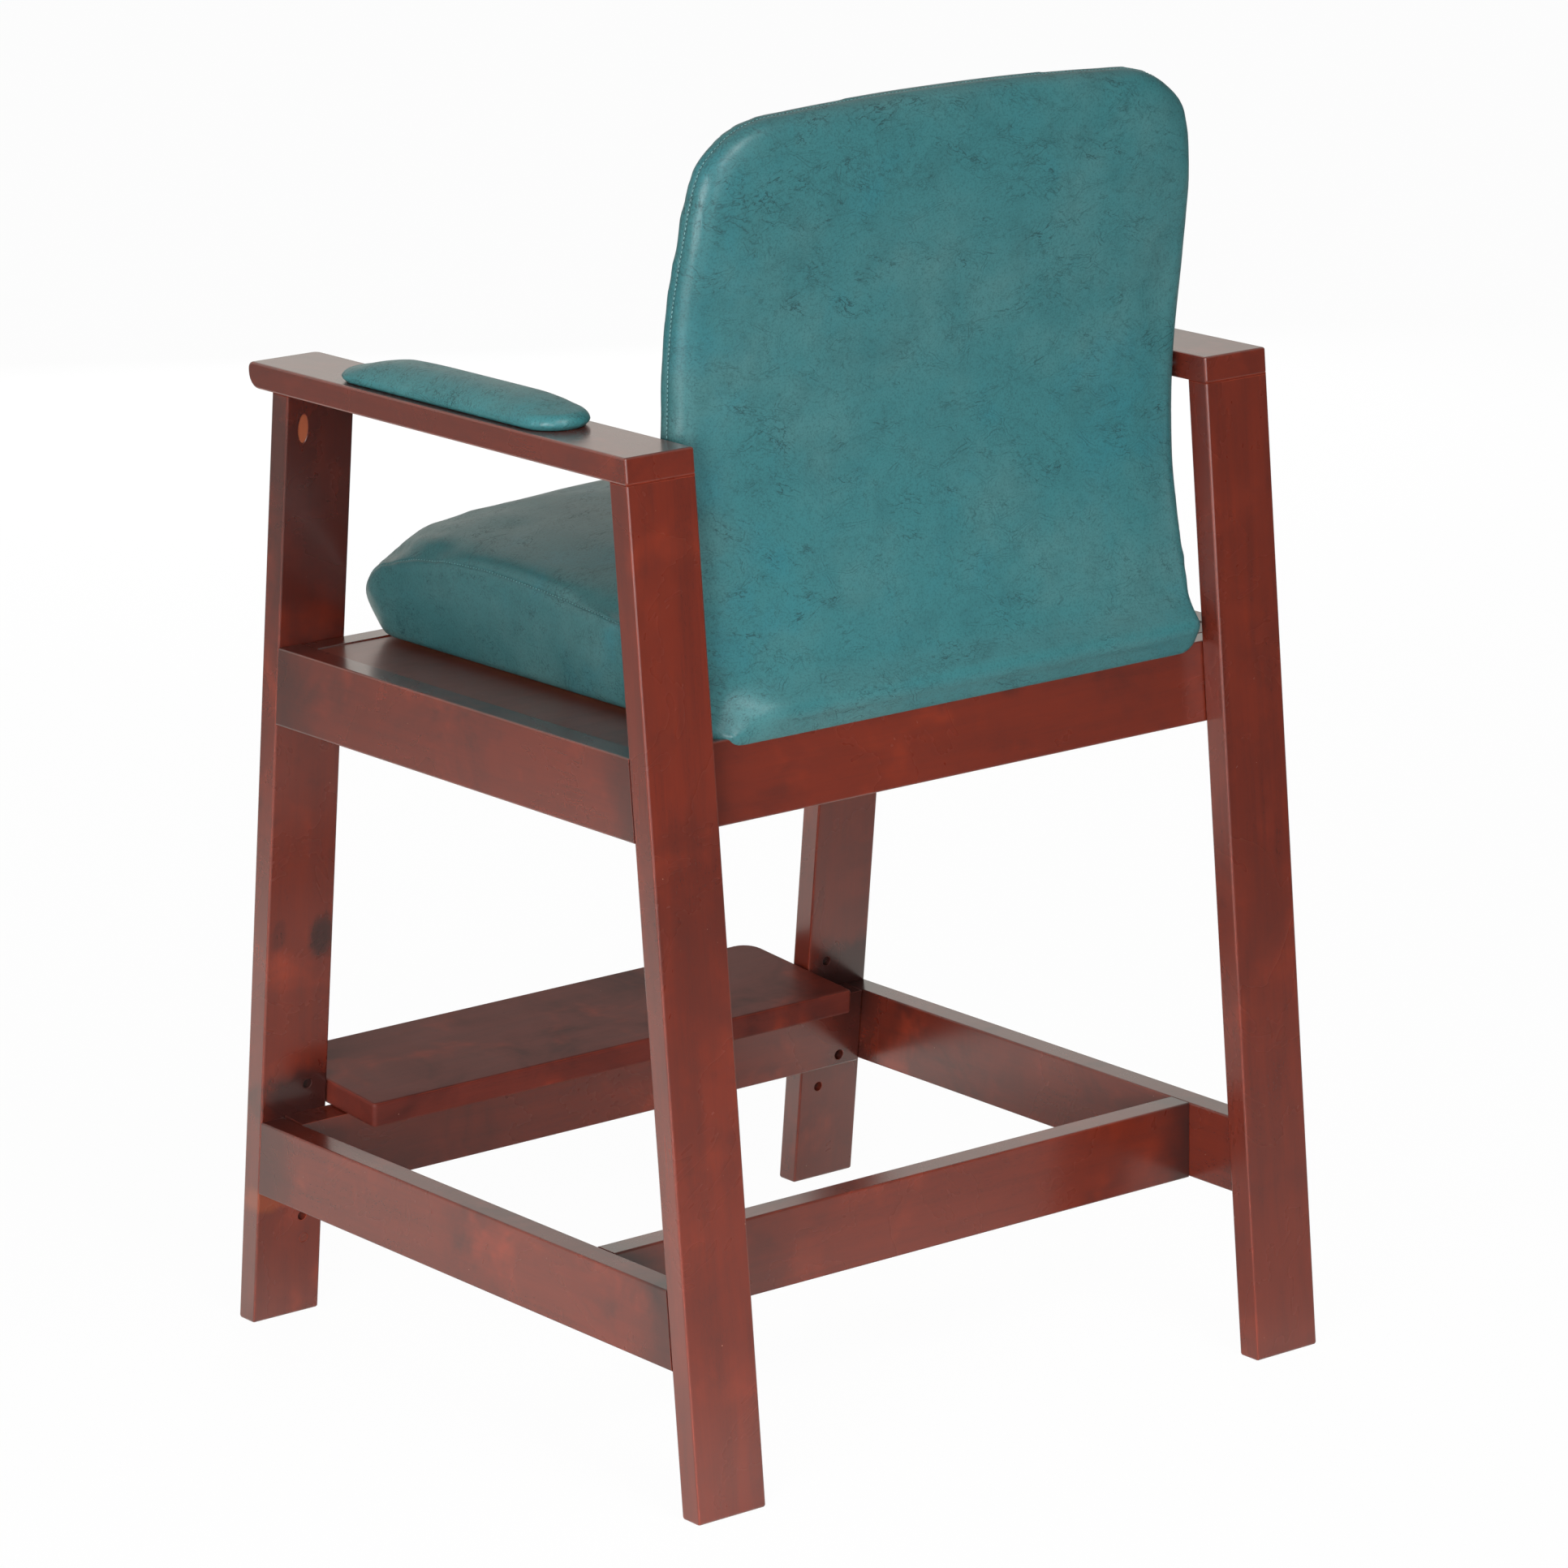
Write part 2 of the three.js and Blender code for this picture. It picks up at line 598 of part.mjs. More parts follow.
const backDepths = [
  ...backRearShares.map((share) => [share, 0, backRimInset]),
  [1, 0, backRimInset],
  [1, backCoverThick + backRimInset, 0],
  [1, (backCoverThick + backSideBand) / 2, 0],
  [1, backSideBand, backRimInset / 2],
  ...backCrownShares.map(([share, rise]) => [
    share, backSideBand + (backDepth - backSideBand) * rise, backRimInset]),
  [backCrownShares.at(-1)[0] / 2, backDepth, backRimInset],
];
const backMiddle = (backFoot + backHead) / 2;
const backCushion = toSolid(padded(backDepths.map(([share, depth, inset]) => (
  spread(backOutline(inset, backFoot), backTick).map(({ x, y }) => {
    const forward = Math.min(1, depth / backSideBand);
    const drop = backFrontDrop * forward * ((y - backFoot) / backHeight) ** backFrontDropPower;
    const z = backMiddle + (y - drop - backMiddle) * share;
    const narrow = 1 - drop / backWidth;
    return new THREE.Vector3(x * share * narrow, backRear(z) - depth, z);
  })))));
const coverRoom = backPanel(
  rectangle(-backWidth, backFoot - overrun, backWidth, backHead + overrun), -backBow,
  backCoverThick + fitGap, backFoot - overrun);
const boardRoom = backPanel(backOutline(backBoardInset - fitGap, backBoardFoot - fitGap, overrun), 0,
  backCoverThick + 2 * fitGap + backBoardThick, backFoot - overrun);
const backPadding = cut(backCushion, coverRoom, boardRoom, ...pinHoles);
back.add(piece('back_cushion', toGeometry(backPadding), 'vinyl'));

// Rear cover, with the padded roll along its lower edge that hangs behind the apron
const rollTop = seatBoardTop + rollHeight;
const rollFoot = seatBoardTop - rollHang;
const rollRear = rollShares.map(([up, out]) => new THREE.Vector2(
  backRear(seatBoardTop + rollHeight * up) + rollBulge * out, seatBoardTop + rollHeight * up));
const rollOuter = backRear(seatBoardTop) + rollBulge;
const rollInner = apronBack(rollFoot) + rollClear;
const rollRound = (rollOuter - rollInner) / 2;
const coverFront = (z) => backRear(z) - backCoverThick;
const plainHeights = ramp(backHead, rollTop, curveSteps);
const coverLine = [
  ...plainHeights.slice(0, -1).map((z) => new THREE.Vector2(backRear(z), z)),
  ...rollRear,
];
coverLine.push(...ramp(0, PI, arcSteps).map((angle) => new THREE.Vector2(
  (rollOuter + rollInner) / 2 + rollRound * cos(angle), rollFoot + rollRound * (1 - sin(angle)))));
const coverRest = apronTop + fitGap;
coverLine.push(
  new THREE.Vector2(rollInner, coverRest),
  ...ramp(coverRest, rollTop, curveSteps).map((z) => new THREE.Vector2(coverFront(z), z)),
  ...plainHeights.toReversed().slice(1).map((z) => new THREE.Vector2(coverFront(z), z)),
);
const cover = toSolid(prismAcross(coverLine, -backWidth, backWidth)).intersect(toSolid(prismThrough(
  backOutline(backRimInset / 2, rollFoot), backRearFoot - backWidth, backRearFoot + backWidth)));
back.add(piece('back_rear_cover', toGeometry(cover), 'vinyl'));

pinFrames.forEach((place, index) => back.add(held(place, piece(
  `back_pin_${sides[index][0]}`, rod(backPinRadius, 0, backPinLength, screwSides), 'zinc'))));
apronScrewFrames.forEach((place, index) => back.add(held(place, piece(
  `back_screw_${index + 1}`, screw(apronScrewLength), 'zinc'))));

// Seat board and the cleats that carry it
const boardFront = (z) => frontRailBack(z) + fitGap;
const boardBack = (z) => apronFront(z) - fitGap;
const seatBoard = toSolid(crossBar(boardFront, boardBack, seatBoardUnder, seatBoardTop,
  betweenRails, 0));
const cleatTop = seatBoardUnder - fitGap;
const cleatUnder = cleatTop - cleatSize;
seat.add(piece('seat_cleat_front', crossBar(boardFront, (z) => boardFront(z) + cleatSize,
  cleatUnder, cleatTop, betweenRails, edgeEase), 'plywood'));
seat.add(piece('seat_cleat_rear', crossBar((z) => boardBack(z) - cleatSize, boardBack,
  cleatUnder, cleatTop, betweenRails, edgeEase), 'plywood'));
for (const [name, side] of sides) {
  const [low, high] = span(side, betweenRails, betweenRails - cleatSize);
  const ends = (z) => boardFront(z) + cleatSize + fitGap;
  const rear = (z) => boardBack(z) - cleatSize - fitGap;
  const outline = [[ends(cleatUnder), cleatUnder], [rear(cleatUnder), cleatUnder],
    [rear(cleatTop), cleatTop], [ends(cleatTop), cleatTop]]
    .map((point) => new THREE.Vector2(...point));
  seat.add(piece(`seat_cleat_${name}`, prismAcross(outline, low, high), 'plywood'));
}

// Seat cushion on its own board
const cushionFront = frontLegBack(seatTop) - cushionFrontReach;
const cushionFoot = seatTop + fitGap;
const cushionBack = (z) => backRear(z) - backDepth - fitGap;
const cushionDeep = cushionBack(seatBoardTop) - cushionFront;
const cushionShape = spread(roundedOutline(
  rectangle(-cushionWidth / 2, 0, cushionWidth / 2, cushionDeep),
  [cushionCorner, cushionCorner, cushionRearCorner, cushionRearCorner]), cushionTick);
const seamHeight = (y) => cushionHeight * along(seatSeamShares, y / cushionDeep);

// The crown's rise over a place in plan: full at the middle, none at the seam around the edge
const cushionMiddle = cushionDeep * seatCrownCentreShare;
function crownRise(x, y) {
  const ahead = y < cushionMiddle ? cushionMiddle : cushionDeep - cushionMiddle;
  const out = Math.hypot((2 * x) / cushionWidth, (y - cushionMiddle) / ahead);
  const square = Math.max(Math.abs(2 * x) / cushionWidth, Math.abs(y - cushionMiddle) / ahead);
  const edge = Math.min(1, square + (out - square) * crownCornerShare);
  return (1 - edge ** crownFlatness) ** crownEdgeShare;
}

// One ring of the cushion: drawn in by an inset, with its rear edge kept clear of the back
function cushionRing(share, inset, height) {
  return cushionShape.map((point) => {
    const narrow = share * (1 - (2 * inset) / cushionWidth);
    const x = point.x * narrow;
    const y = cushionMiddle + (point.y - cushionMiddle) * share * (1 - (2 * inset) / cushionDeep);
    const z = cushionFoot + height(x, y);
    const bend = (cushionBack(z) - cushionFront) / cushionDeep;
    return new THREE.Vector3(x, cushionFront + y * bend, z);
  });
}
const cushionRings = [
  ...seatSideShares.map(([up, draw]) => cushionRing(1, cushionSideInset * draw,
    (x, y) => seamHeight(y) * up)),
  ...seatCrownShares.map((share) => cushionRing(share, cushionSideInset * seamDrawShare * share,
    (x, y) => seamHeight(y) + (cushionHeight - seamHeight(y)) * crownRise(x, y))),
];
const cushionBoardTop = cushionFoot + cushionBoardThick;
const boardPlan = (inset) => {
  const reach = inset + cushionSideInset;
  const half = cushionWidth / 2 - reach;
  return roundedOutline(rectangle(-half, cushionFront + reach, half, cushionBack(cushionFoot) - inset),
    cushionBoardCorner);
};
const cushionBoard = toSolid(prism(boardPlan(cushionBoardInset), cushionBoardThick)
  .translate(0, 0, cushionFoot));
const cushionRoom = toSolid(prism(boardPlan(cushionBoardInset - fitGap),
  cushionBoardThick + fitGap + overrun).translate(0, 0, cushionFoot - overrun));
const cushion = toSolid(padded(cushionRings)).subtract(cushionRoom);
seat.add(piece('seat_cushion', toGeometry(cushion), 'vinyl'));

// Screws that hold the cushion's board down from under the seat board
const cushionScrewX = (cushionWidth / 2) * cushionScrewSpreadShare;
const cushionCentre = (cushionFront + cushionBack(cushionFoot)) / 2;
const cushionScrewY = (cushionDeep / 2) * cushionScrewSpreadShare;
const cushionScrewLength = cushionFoot - seatBoardUnder + cushionScrewGrip + screwHeadHeight;
const cushionScrewZ = seatBoardUnder - screwHeadHeight;
const cushionScrewPlaces = [[1, -1], [-1, -1], [1, 1], [-1, 1]].map(([across, ahead]) => [
  across * cushionScrewX, cushionCentre + ahead * cushionScrewY, cushionScrewZ]);
const cushionHoles = cushionScrewPlaces.map((place) => at(
  rod(screwRadius + pegGap, 0, cushionScrewLength + pegGap, screwSides), shift(...place)));
seat.add(piece('seat_board', toGeometry(cut(seatBoard, ...cushionHoles)), 'plywood'));
seat.add(piece('seat_cushion_board', toGeometry(cut(cushionBoard, ...cushionHoles)), 'plywood'));
cushionScrewPlaces.forEach(([x, y, z], index) => {
  seat.add(piece(`seat_screw_${index + 1}`, screw(cushionScrewLength), 'zinc', [x, y, z - fitGap]));
});

// Armrests, pads and their screws
const armNose = frontLegFront(armUnder) - armOverhang;
const padMiddle = armNose + padSetBack + padLength / 2;
const padX = halfWidth - legWidth / 2;
const padScrewLength = armThick - padBoreDepth + fitGap + padScrewGrip + screwHeadHeight;
const padScrewZ = armUnder + padBoreDepth - screwHeadHeight;

function stadium(length, width) {
  const round = width / 2 - pegGap;
  return roundedOutline(rectangle(-width / 2, -length / 2, width / 2, length / 2), round);
}

const padFoot = armTop + padLift;
const padTall = padHeight - padLift;
const padCore = (padLength - padWidth) / 2;
const padShape = spread(stadium(padLength, padWidth), padWidth / 2);
function padRing(share, inset, up) {
  return padShape.map(({ x, y }) => {
    const end = Math.max(-padCore, Math.min(padCore, y));
    const reach = share * (1 - (2 * inset) / padWidth);
    const place = end * (0.5 + share / 2) + (y - end) * reach;
    const ahead = 0.5 - place / padLength;
    const drop = Math.max(0, ahead - 1 + padNoseReachShare) / padNoseReachShare;
    const low = 1 - padNoseDropShare * drop * drop;
    return new THREE.Vector3(x * reach, place, padTall * up * low);
  });
}
const padRings = [
  ...padSideShares.map(([up, draw]) => padRing(1, padWidth * draw, up)),
  ...padCrownShares.map(([share, up]) => padRing(share, 0, up)),
];
const padBoardLength = padLength - (padWidth - padBoardWidth);
const padBoardTop = fitGap + padBoardThick;

for (const [index, [name, side]] of sides.entries()) {
  const outline = roundedOutline([
    [armNose, armUnder], [rearLegBack(armUnder), armUnder], [rearLegBack(armTop), armTop],
    [armNose, armTop],
  ], [noseUnderRound, armEndRound, armEndRound, noseTopRound]);
  const [low, high] = span(side, halfWidth, halfWidth - legWidth);
  const corner = side > 0 ? [armCornerRound, 0, 0, 0] : [0, armCornerRound, 0, 0];
  const plan = roundedOutline(rectangle(low, armNose, high, rearLegBack(0)), corner);
  const planPrism = toSolid(prism(plan, armThick + 2 * overrun).translate(0, 0, armUnder - overrun));
  const padPlace = (share) => [side * padX, padMiddle + padBoardLength * (share - 0.5), padScrewZ];
  const padHoles = padScrewShares.map((share) => at(
    screwHole(padScrewLength), shift(...padPlace(share))));
  const arm = cut(toSolid(prismAcross(outline, low, high, edgeEase)).intersect(planPrism),
    at(pocketHole, pocketFrame(side)), pinHoles[index], ...padHoles);
  arms.add(piece(`armrest_${name}`, toGeometry(arm), 'stain'));

  const padPlan = stadium(padBoardLength, padBoardWidth);
  const board = at(prism(padPlan, padBoardThick), shift(side * padX, padMiddle, armTop + fitGap));
  arms.add(piece(`arm_pad_board_${name}`, toGeometry(cut(board, ...padHoles)), 'plywood'));
  const padRoom = toSolid(prism(stadium(padBoardLength + 2 * fitGap, padBoardWidth + 2 * fitGap),
    padBoardTop - padLift + fitGap + overrun).translate(0, 0, -overrun));
  arms.add(piece(`arm_pad_${name}`, toGeometry(toSolid(padded(padRings)).subtract(padRoom)), 'vinyl',
    [side * padX, padMiddle, padFoot]));
  padScrewShares.forEach((share, place) => arms.add(piece(
    `arm_pad_screw_${name}_${place + 1}`, screw(padScrewLength), 'zinc', padPlace(share))));
}

// Bolts and washers of the footrest, which stay with the front legs
const bolts = new THREE.Group();
bolts.applyMatrix4(frontLegFrame);
frame.add(bolts);
const boltLength = frontLegThick + fitGap + washerThick + boltGrip;
const boltProfile = [
  ...boltHeadShares.map(([out, up]) => [boltHeadRadius * out, -boltHeadHeight * up]),
  [boltRadius, 0], [boltRadius, boltLength - screwTip / 2], [boltRadius - screwTip / 2, boltLength],
];
const boltBody = toSolid(turned(boltProfile)).subtract(
  toSolid(rod(boltSocketRadius, -boltHeadHeight - overrun, boltSocketDepth - boltHeadHeight, 6)));
const washerBody = toSolid(rod(washerRadius, 0, washerThick)).subtract(
  toSolid(rod(boltHoleRadius, -overrun, overrun)));
const washerBack = -frontLegThick - fitGap;
for (const [name, side] of sides) {
  const x = side * boltX;
  const bolt = piece(`footrest_bolt_${name}`, toGeometry(boltBody), 'zinc',
    [x, washerBack - washerThick - fitGap, boltAlong]);
  bolt.rotation.x = -PI / 2;
  const washer = piece(`footrest_washer_${name}`, toGeometry(washerBody), 'zinc',
    [x, washerBack - washerThick, boltAlong]);
  washer.rotation.x = -PI / 2;
  bolts.add(bolt, washer);
}

// Footrest: a rail behind the front legs, and a tread that lies on it between them
const leaning = new THREE.Group();
leaning.applyMatrix4(frontLegFrame);
footrest.add(leaning);
const footRailHalf = halfWidth - stretcherThick - footRailClear;
const treadTilt = frontLean - treadRise;
const footRailFrontTop = footRailTop - footRailThick * tan(treadTilt);

// The tread's frame: its front lower edge, a tread's reach ahead of the rail's rear top edge
const railCorner = new THREE.Vector3(0, footRailBack, footRailTop).applyMatrix4(frontLegFrame);
const treadFrame = shift(0, railCorner.y, railCorner.z + fitGap).multiply(tip(-treadRise))
  .multiply(shift(0, -treadAhead, 0));

const treadScrewReach = treadWidth / 2 - treadScrewInset;
const treadScrewX = [-treadScrewReach, 0, treadScrewReach];
const treadScrewLength = footRailHeight - treadBoreDepth + treadScrewGrip;
const treadScrewPlaces = treadScrewX.map((x) => [
  x, fitGap + footRailThick / 2, footRailUnder + treadBoreDepth]);
const treadScrewHole = screwHole(treadScrewLength, 2 * treadBoreDepth);
const insertHole = turned([
  [insertRadius + pegGap, -overrun], [insertRadius + pegGap, insertLength + fitGap],
  [railHoleRadius, insertLength + fitGap], [railHoleRadius, footRailThick + overrun],
]);
const insertPlace = (side) => shift(side * boltX, fitGap, boltAlong).multiply(tip(-PI / 2));
const footRailOutline = roundedOutline([
  [fitGap, footRailUnder], [footRailBack, footRailUnder], [footRailBack, footRailTop],
  [fitGap, footRailFrontTop],
], [edgeEase, edgeEase, 0, 0]);
const footRail = cut(
  toSolid(prismAcross(footRailOutline, -footRailHalf, footRailHalf)),
  ...treadScrewPlaces.map((place) => at(treadScrewHole, shift(...place))),
  ...sides.map(([, side]) => at(insertHole, insertPlace(side))));
leaning.add(piece('footrest_rail', toGeometry(footRail), 'stain'));

const insertBody = toSolid(rod(insertRadius, 0, insertLength)).subtract(
  toSolid(rod(boltHoleRadius, -overrun, overrun)));
for (const [name, side] of sides) {
  const insert = piece(`footrest_insert_${name}`, toGeometry(insertBody), 'brass',
    [side * boltX, fitGap, boltAlong]);
  insert.rotation.x = -PI / 2;
  leaning.add(insert);
}
treadScrewPlaces.forEach((place, index) => {
  leaning.add(piece(`tread_screw_${index + 1}`, screw(treadScrewLength), 'zinc', place));
});

const treadPlan = roundedOutline(rectangle(-treadWidth / 2, 0, treadWidth / 2, treadDepth),
  [treadCorner, treadCorner, treadRearCorner, treadRearCorner]);
const treadToLeg = treadFrame.clone().invert().multiply(frontLegFrame);
const treadBody = cut(toSolid(prism(treadPlan, treadThick, treadEase)),
  ...treadScrewPlaces.map((place) => at(treadScrewHole, treadToLeg, shift(...place))));
footrest.add(held(treadFrame, piece('footrest_tread', toGeometry(treadBody), 'stain')));

export default chair;
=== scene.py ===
"""Hip chair: stained and lacquered wood, padded vinyl, fastenings and a plain studio."""

from __future__ import annotations

import json
import logging
import math
from dataclasses import dataclass, field
from enum import Enum
from functools import reduce
from typing import Callable, Iterable, Sequence

import bmesh
import bpy
import numpy as np
from mathutils import Matrix, Vector
from mathutils.bvhtree import BVHTree
from mathutils.kdtree import KDTree

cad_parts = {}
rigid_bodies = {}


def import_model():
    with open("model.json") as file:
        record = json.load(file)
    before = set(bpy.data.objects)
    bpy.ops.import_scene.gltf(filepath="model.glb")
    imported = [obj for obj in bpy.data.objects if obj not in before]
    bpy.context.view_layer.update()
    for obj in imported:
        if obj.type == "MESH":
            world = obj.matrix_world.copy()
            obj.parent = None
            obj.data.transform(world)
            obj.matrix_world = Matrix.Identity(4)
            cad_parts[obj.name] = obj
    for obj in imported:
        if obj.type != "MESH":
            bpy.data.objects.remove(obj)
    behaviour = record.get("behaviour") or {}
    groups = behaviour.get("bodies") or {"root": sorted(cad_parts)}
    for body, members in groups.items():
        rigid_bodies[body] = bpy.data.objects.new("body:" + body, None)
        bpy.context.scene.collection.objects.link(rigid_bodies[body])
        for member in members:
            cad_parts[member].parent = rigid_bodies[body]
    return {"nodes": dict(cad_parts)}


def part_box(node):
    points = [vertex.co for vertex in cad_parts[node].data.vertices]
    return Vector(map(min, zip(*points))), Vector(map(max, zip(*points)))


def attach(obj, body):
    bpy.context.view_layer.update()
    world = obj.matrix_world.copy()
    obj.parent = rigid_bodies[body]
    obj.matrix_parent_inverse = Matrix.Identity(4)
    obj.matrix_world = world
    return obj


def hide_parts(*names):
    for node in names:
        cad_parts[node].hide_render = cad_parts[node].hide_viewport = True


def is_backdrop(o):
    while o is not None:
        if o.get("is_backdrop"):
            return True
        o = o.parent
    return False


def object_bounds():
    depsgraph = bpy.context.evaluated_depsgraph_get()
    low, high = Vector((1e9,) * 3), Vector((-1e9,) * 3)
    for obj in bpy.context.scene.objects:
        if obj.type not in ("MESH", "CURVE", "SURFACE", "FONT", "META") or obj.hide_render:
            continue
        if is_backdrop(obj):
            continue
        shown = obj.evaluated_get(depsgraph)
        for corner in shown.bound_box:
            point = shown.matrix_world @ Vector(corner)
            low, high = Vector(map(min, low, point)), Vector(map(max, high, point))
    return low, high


log = logging.getLogger("hip_chair")

Socket = bpy.types.NodeSocket
Mesh = bpy.types.Mesh
Object = bpy.types.Object
Material = bpy.types.Material
Value = object  # a node socket, or the number, colour or vector that a socket takes
Place = tuple[float, float, float]
Tone = tuple[int, int, int]  # red, green and blue as seen on a screen, from 0 to 255
Colour = tuple[float, float, float, float]
Table = tuple[tuple[float, float], ...]
Ramp = tuple[float, float, float, float]  # from one place to another, and the values there

ZERO = (0.0, 0.0, 0.0)
WHITE = (1.0, 1.0, 1.0, 1.0)
GRAIN_GIVES = {"Color": "NodeSocketColor", "Roughness": "NodeSocketFloat",
               "Height": "NodeSocketFloat"}


class Along(Enum):
    """The way a board's grain runs: the chair's axis, and the turn from upright to it."""

    WIDTH = ("X", (0.0, math.pi / 2, 0.0))
    DEPTH = ("Y", (-math.pi / 2, 0.0, 0.0))
    HEIGHT = ("Z", (0.0, 0.0, 0.0))


class Mix(Enum):
    """What is mixed: its name, where the share and the two inputs go, and where it comes out."""

    COLOURS = ("RGBA", (0, 6, 7), 2)
    NUMBERS = ("FLOAT", (0, 2, 3), 0)


def srgb(red: int, green: int, blue: int) -> Colour:
    """Turns a colour as seen on a screen into the linear one that shaders take.

    Args:
        red: Red from 0 to 255.
        green: Green from 0 to 255.
        blue: Blue from 0 to 255.

    Returns:
        Linear red, green and blue, and a full alpha.
    """
    shares = [part / 255 for part in (red, green, blue)]
    linear = [s / 12.92 if s <= 0.04045 else ((s + 0.055) / 1.055) ** 2.4 for s in shares]
    return (*linear, 1.0)


class Bench:
    """Lays out and wires the nodes of one tree."""

    def __init__(self, tree: bpy.types.NodeTree) -> None:
        """Keeps the tree to work on."""
        self.tree = tree

    def feed(self, socket: Socket, value: Value) -> None:
        """Gives an input a value, or links it where the value is itself a socket.

        Args:
            socket: The input.
            value: What it gets.
        """
        if isinstance(value, Socket):
            self.tree.links.new(value, socket)
        else:
            socket.default_value = value

    def put(self, kind: str, settings: dict[str, object] | None = None, *values: Value,
            **sockets: Value) -> bpy.types.Node:
        """Adds a node.

        Args:
            kind: The node's type.
            settings: Properties of the node itself.
            *values: What its first inputs get, in their order.
            **sockets: Values by input name, with spaces written as underscores.

        Returns:
            The new node.
        """
        node = self.tree.nodes.new(kind)
        node.location = (190 * (len(self.tree.nodes) % 12), -230 * (len(self.tree.nodes) // 12))
        for key, value in (settings or {}).items():
            setattr(node, key, value)
        for socket, value in zip(node.inputs, values):
            self.feed(socket, value)
        for key, value in sockets.items():
            self.feed(node.inputs[key.replace("_", " ")], value)
        return node

    def math(self, operation: str, *values: Value, clamp: bool = False) -> Socket:
        """Works out one number from up to three."""
        settings = {"operation": operation, "use_clamp": clamp}
        return self.put("ShaderNodeMath", settings, *values).outputs[0]

    def vector(self, operation: str, *values: Value, **named: Value) -> Socket:
        """Works out one vector, or one number for an operation that measures."""
        node = self.put("ShaderNodeVectorMath", {"operation": operation}, *values, **named)
        return node.outputs["Value" if operation in ("LENGTH", "DOT_PRODUCT") else "Vector"]

    def times(self, *values: Value) -> Socket:
        """Multiplies numbers."""
        return reduce(lambda so_far, value: self.math("MULTIPLY", so_far, value), values)

    def most(self, *values: Value) -> Socket:
        """Returns the greatest of some numbers."""
        return reduce(lambda so_far, value: self.math("MAXIMUM", so_far, value), values)

    def plus(self, first: Value, second: Value) -> Socket:
        """Adds two numbers."""
        return self.math("ADD", first, second)

    def minus(self, first: Value, second: Value) -> Socket:
        """Takes the second number from the first."""
        return self.math("SUBTRACT", first, second)

    def off_middle(self, value: Value) -> Socket:
        """Returns how far a number lies from one half."""
        return self.math("ABSOLUTE", self.minus(value, 0.5))

    def stretched(self, place: Value, by: Place) -> Socket:
        """Multiplies places, axis by axis: a small number draws a pattern out along its axis."""
        return self.vector("MULTIPLY", place, by)

    def moved(self, place: Value, shift: Place = ZERO, turn: Place = ZERO) -> Socket:
        """Turns and then shifts the places where a pattern is read."""
        return self.put("ShaderNodeMapping", Vector=place, Location=shift, Rotation=turn).outputs[0]

    def axis(self, place: Value, name: str) -> Socket:
        """Returns a vector's X, Y or Z."""
        return self.put("ShaderNodeSeparateXYZ", Vector=place).outputs[name]

    def ease(self, value: Value, low: float, high: float, start: float = 0.0,
             end: float = 1.0) -> Socket:
        """Runs a value smoothly from start, at low, to end, at high."""
        return self.put("ShaderNodeMapRange", {"interpolation_type": "SMOOTHSTEP"}, Value=value,
                        From_Min=low, From_Max=high, To_Min=start, To_Max=end).outputs["Result"]

    def blend(self, share: Value, first: Value, second: Value, kind: Mix = Mix.COLOURS) -> Socket:
        """Mixes two colours or two numbers.

        Args:
            share: How much of the second is taken.
            first: The colour or number at a share of 0.
            second: The colour or number at a share of 1.
            kind: What is mixed.

        Returns:
            The mix.
        """
        data, inputs, output = kind.value
        node = self.put("ShaderNodeMix", {"data_type": data})
        for index, value in zip(inputs, (share, first, second)):
            self.feed(node.inputs[index], value)
        return node.outputs[output]

    def tint(self, colour: Value, *layers: tuple[Value, Value]) -> Socket:
        """Lays colours over one another, each of them after its share."""
        return reduce(lambda under, layer: self.blend(layer[0], under, layer[1]), layers, colour)

    def noise(self, place: Value, scale: Value, detail: float = 3.0, rough: float = 0.55,
              bend: float = 0.0) -> Socket:
        """A cloudy value around one half."""
        return self.put("ShaderNodeTexNoise", Vector=place, Scale=scale, Detail=detail,
                        Roughness=rough, Distortion=bend).outputs["Fac"]

    def cells(self, place: Value, scale: Value, feature: str = "F1") -> Socket:
        """The distances of a cell pattern, to a cell's centre or to its border."""
        return self.put("ShaderNodeTexVoronoi", {"feature": feature}, Vector=place,
                        Scale=scale).outputs["Distance"]


def fresh_bench(block: bpy.types.World | Material) -> Bench:
    """Clears the nodes of a material or of the world.

    Args:
        block: The material or the world.

    Returns:
        A bench for its new nodes.
    """
    block.use_nodes = True
    block.node_tree.nodes.clear()
    return Bench(block.node_tree)


class Group:
    """A shader node group with named inputs and outputs, built once and used by many finishes."""

    def __init__(self, name: str, takes: dict[str, object], gives: dict[str, str]) -> None:
        """Makes the group's sockets.

        Args:
            name: The group's name.
            takes: Input names with their default values.
            gives: Output names with their socket types.
        """
        self.tree = bpy.data.node_groups.new(name, "ShaderNodeTree")
        for key, value in takes.items():
            kind = {float: "NodeSocketFloat", tuple: "NodeSocketColor"}.get(
                type(value), "NodeSocketVector")
            socket = self.tree.interface.new_socket(key, in_out="INPUT", socket_type=kind)
            if value is not None:
                socket.default_value = value
        for key, kind in gives.items():
            self.tree.interface.new_socket(key, in_out="OUTPUT", socket_type=kind)
        self.bench = Bench(self.tree)
        self.given = self.bench.put("NodeGroupInput").outputs
        self.wanted = self.bench.put("NodeGroupOutput").inputs

    def give(self, **values: Value) -> None:
        """Wires the group's outputs."""
        for key, value in values.items():
            self.bench.feed(self.wanted[key], value)

    def place(self, bench: Bench, **values: Value) -> bpy.types.bpy_prop_collection:
        """Puts the group in a material and returns its outputs."""
        return bench.put("ShaderNodeGroup", {"node_tree": self.tree}, **values).outputs


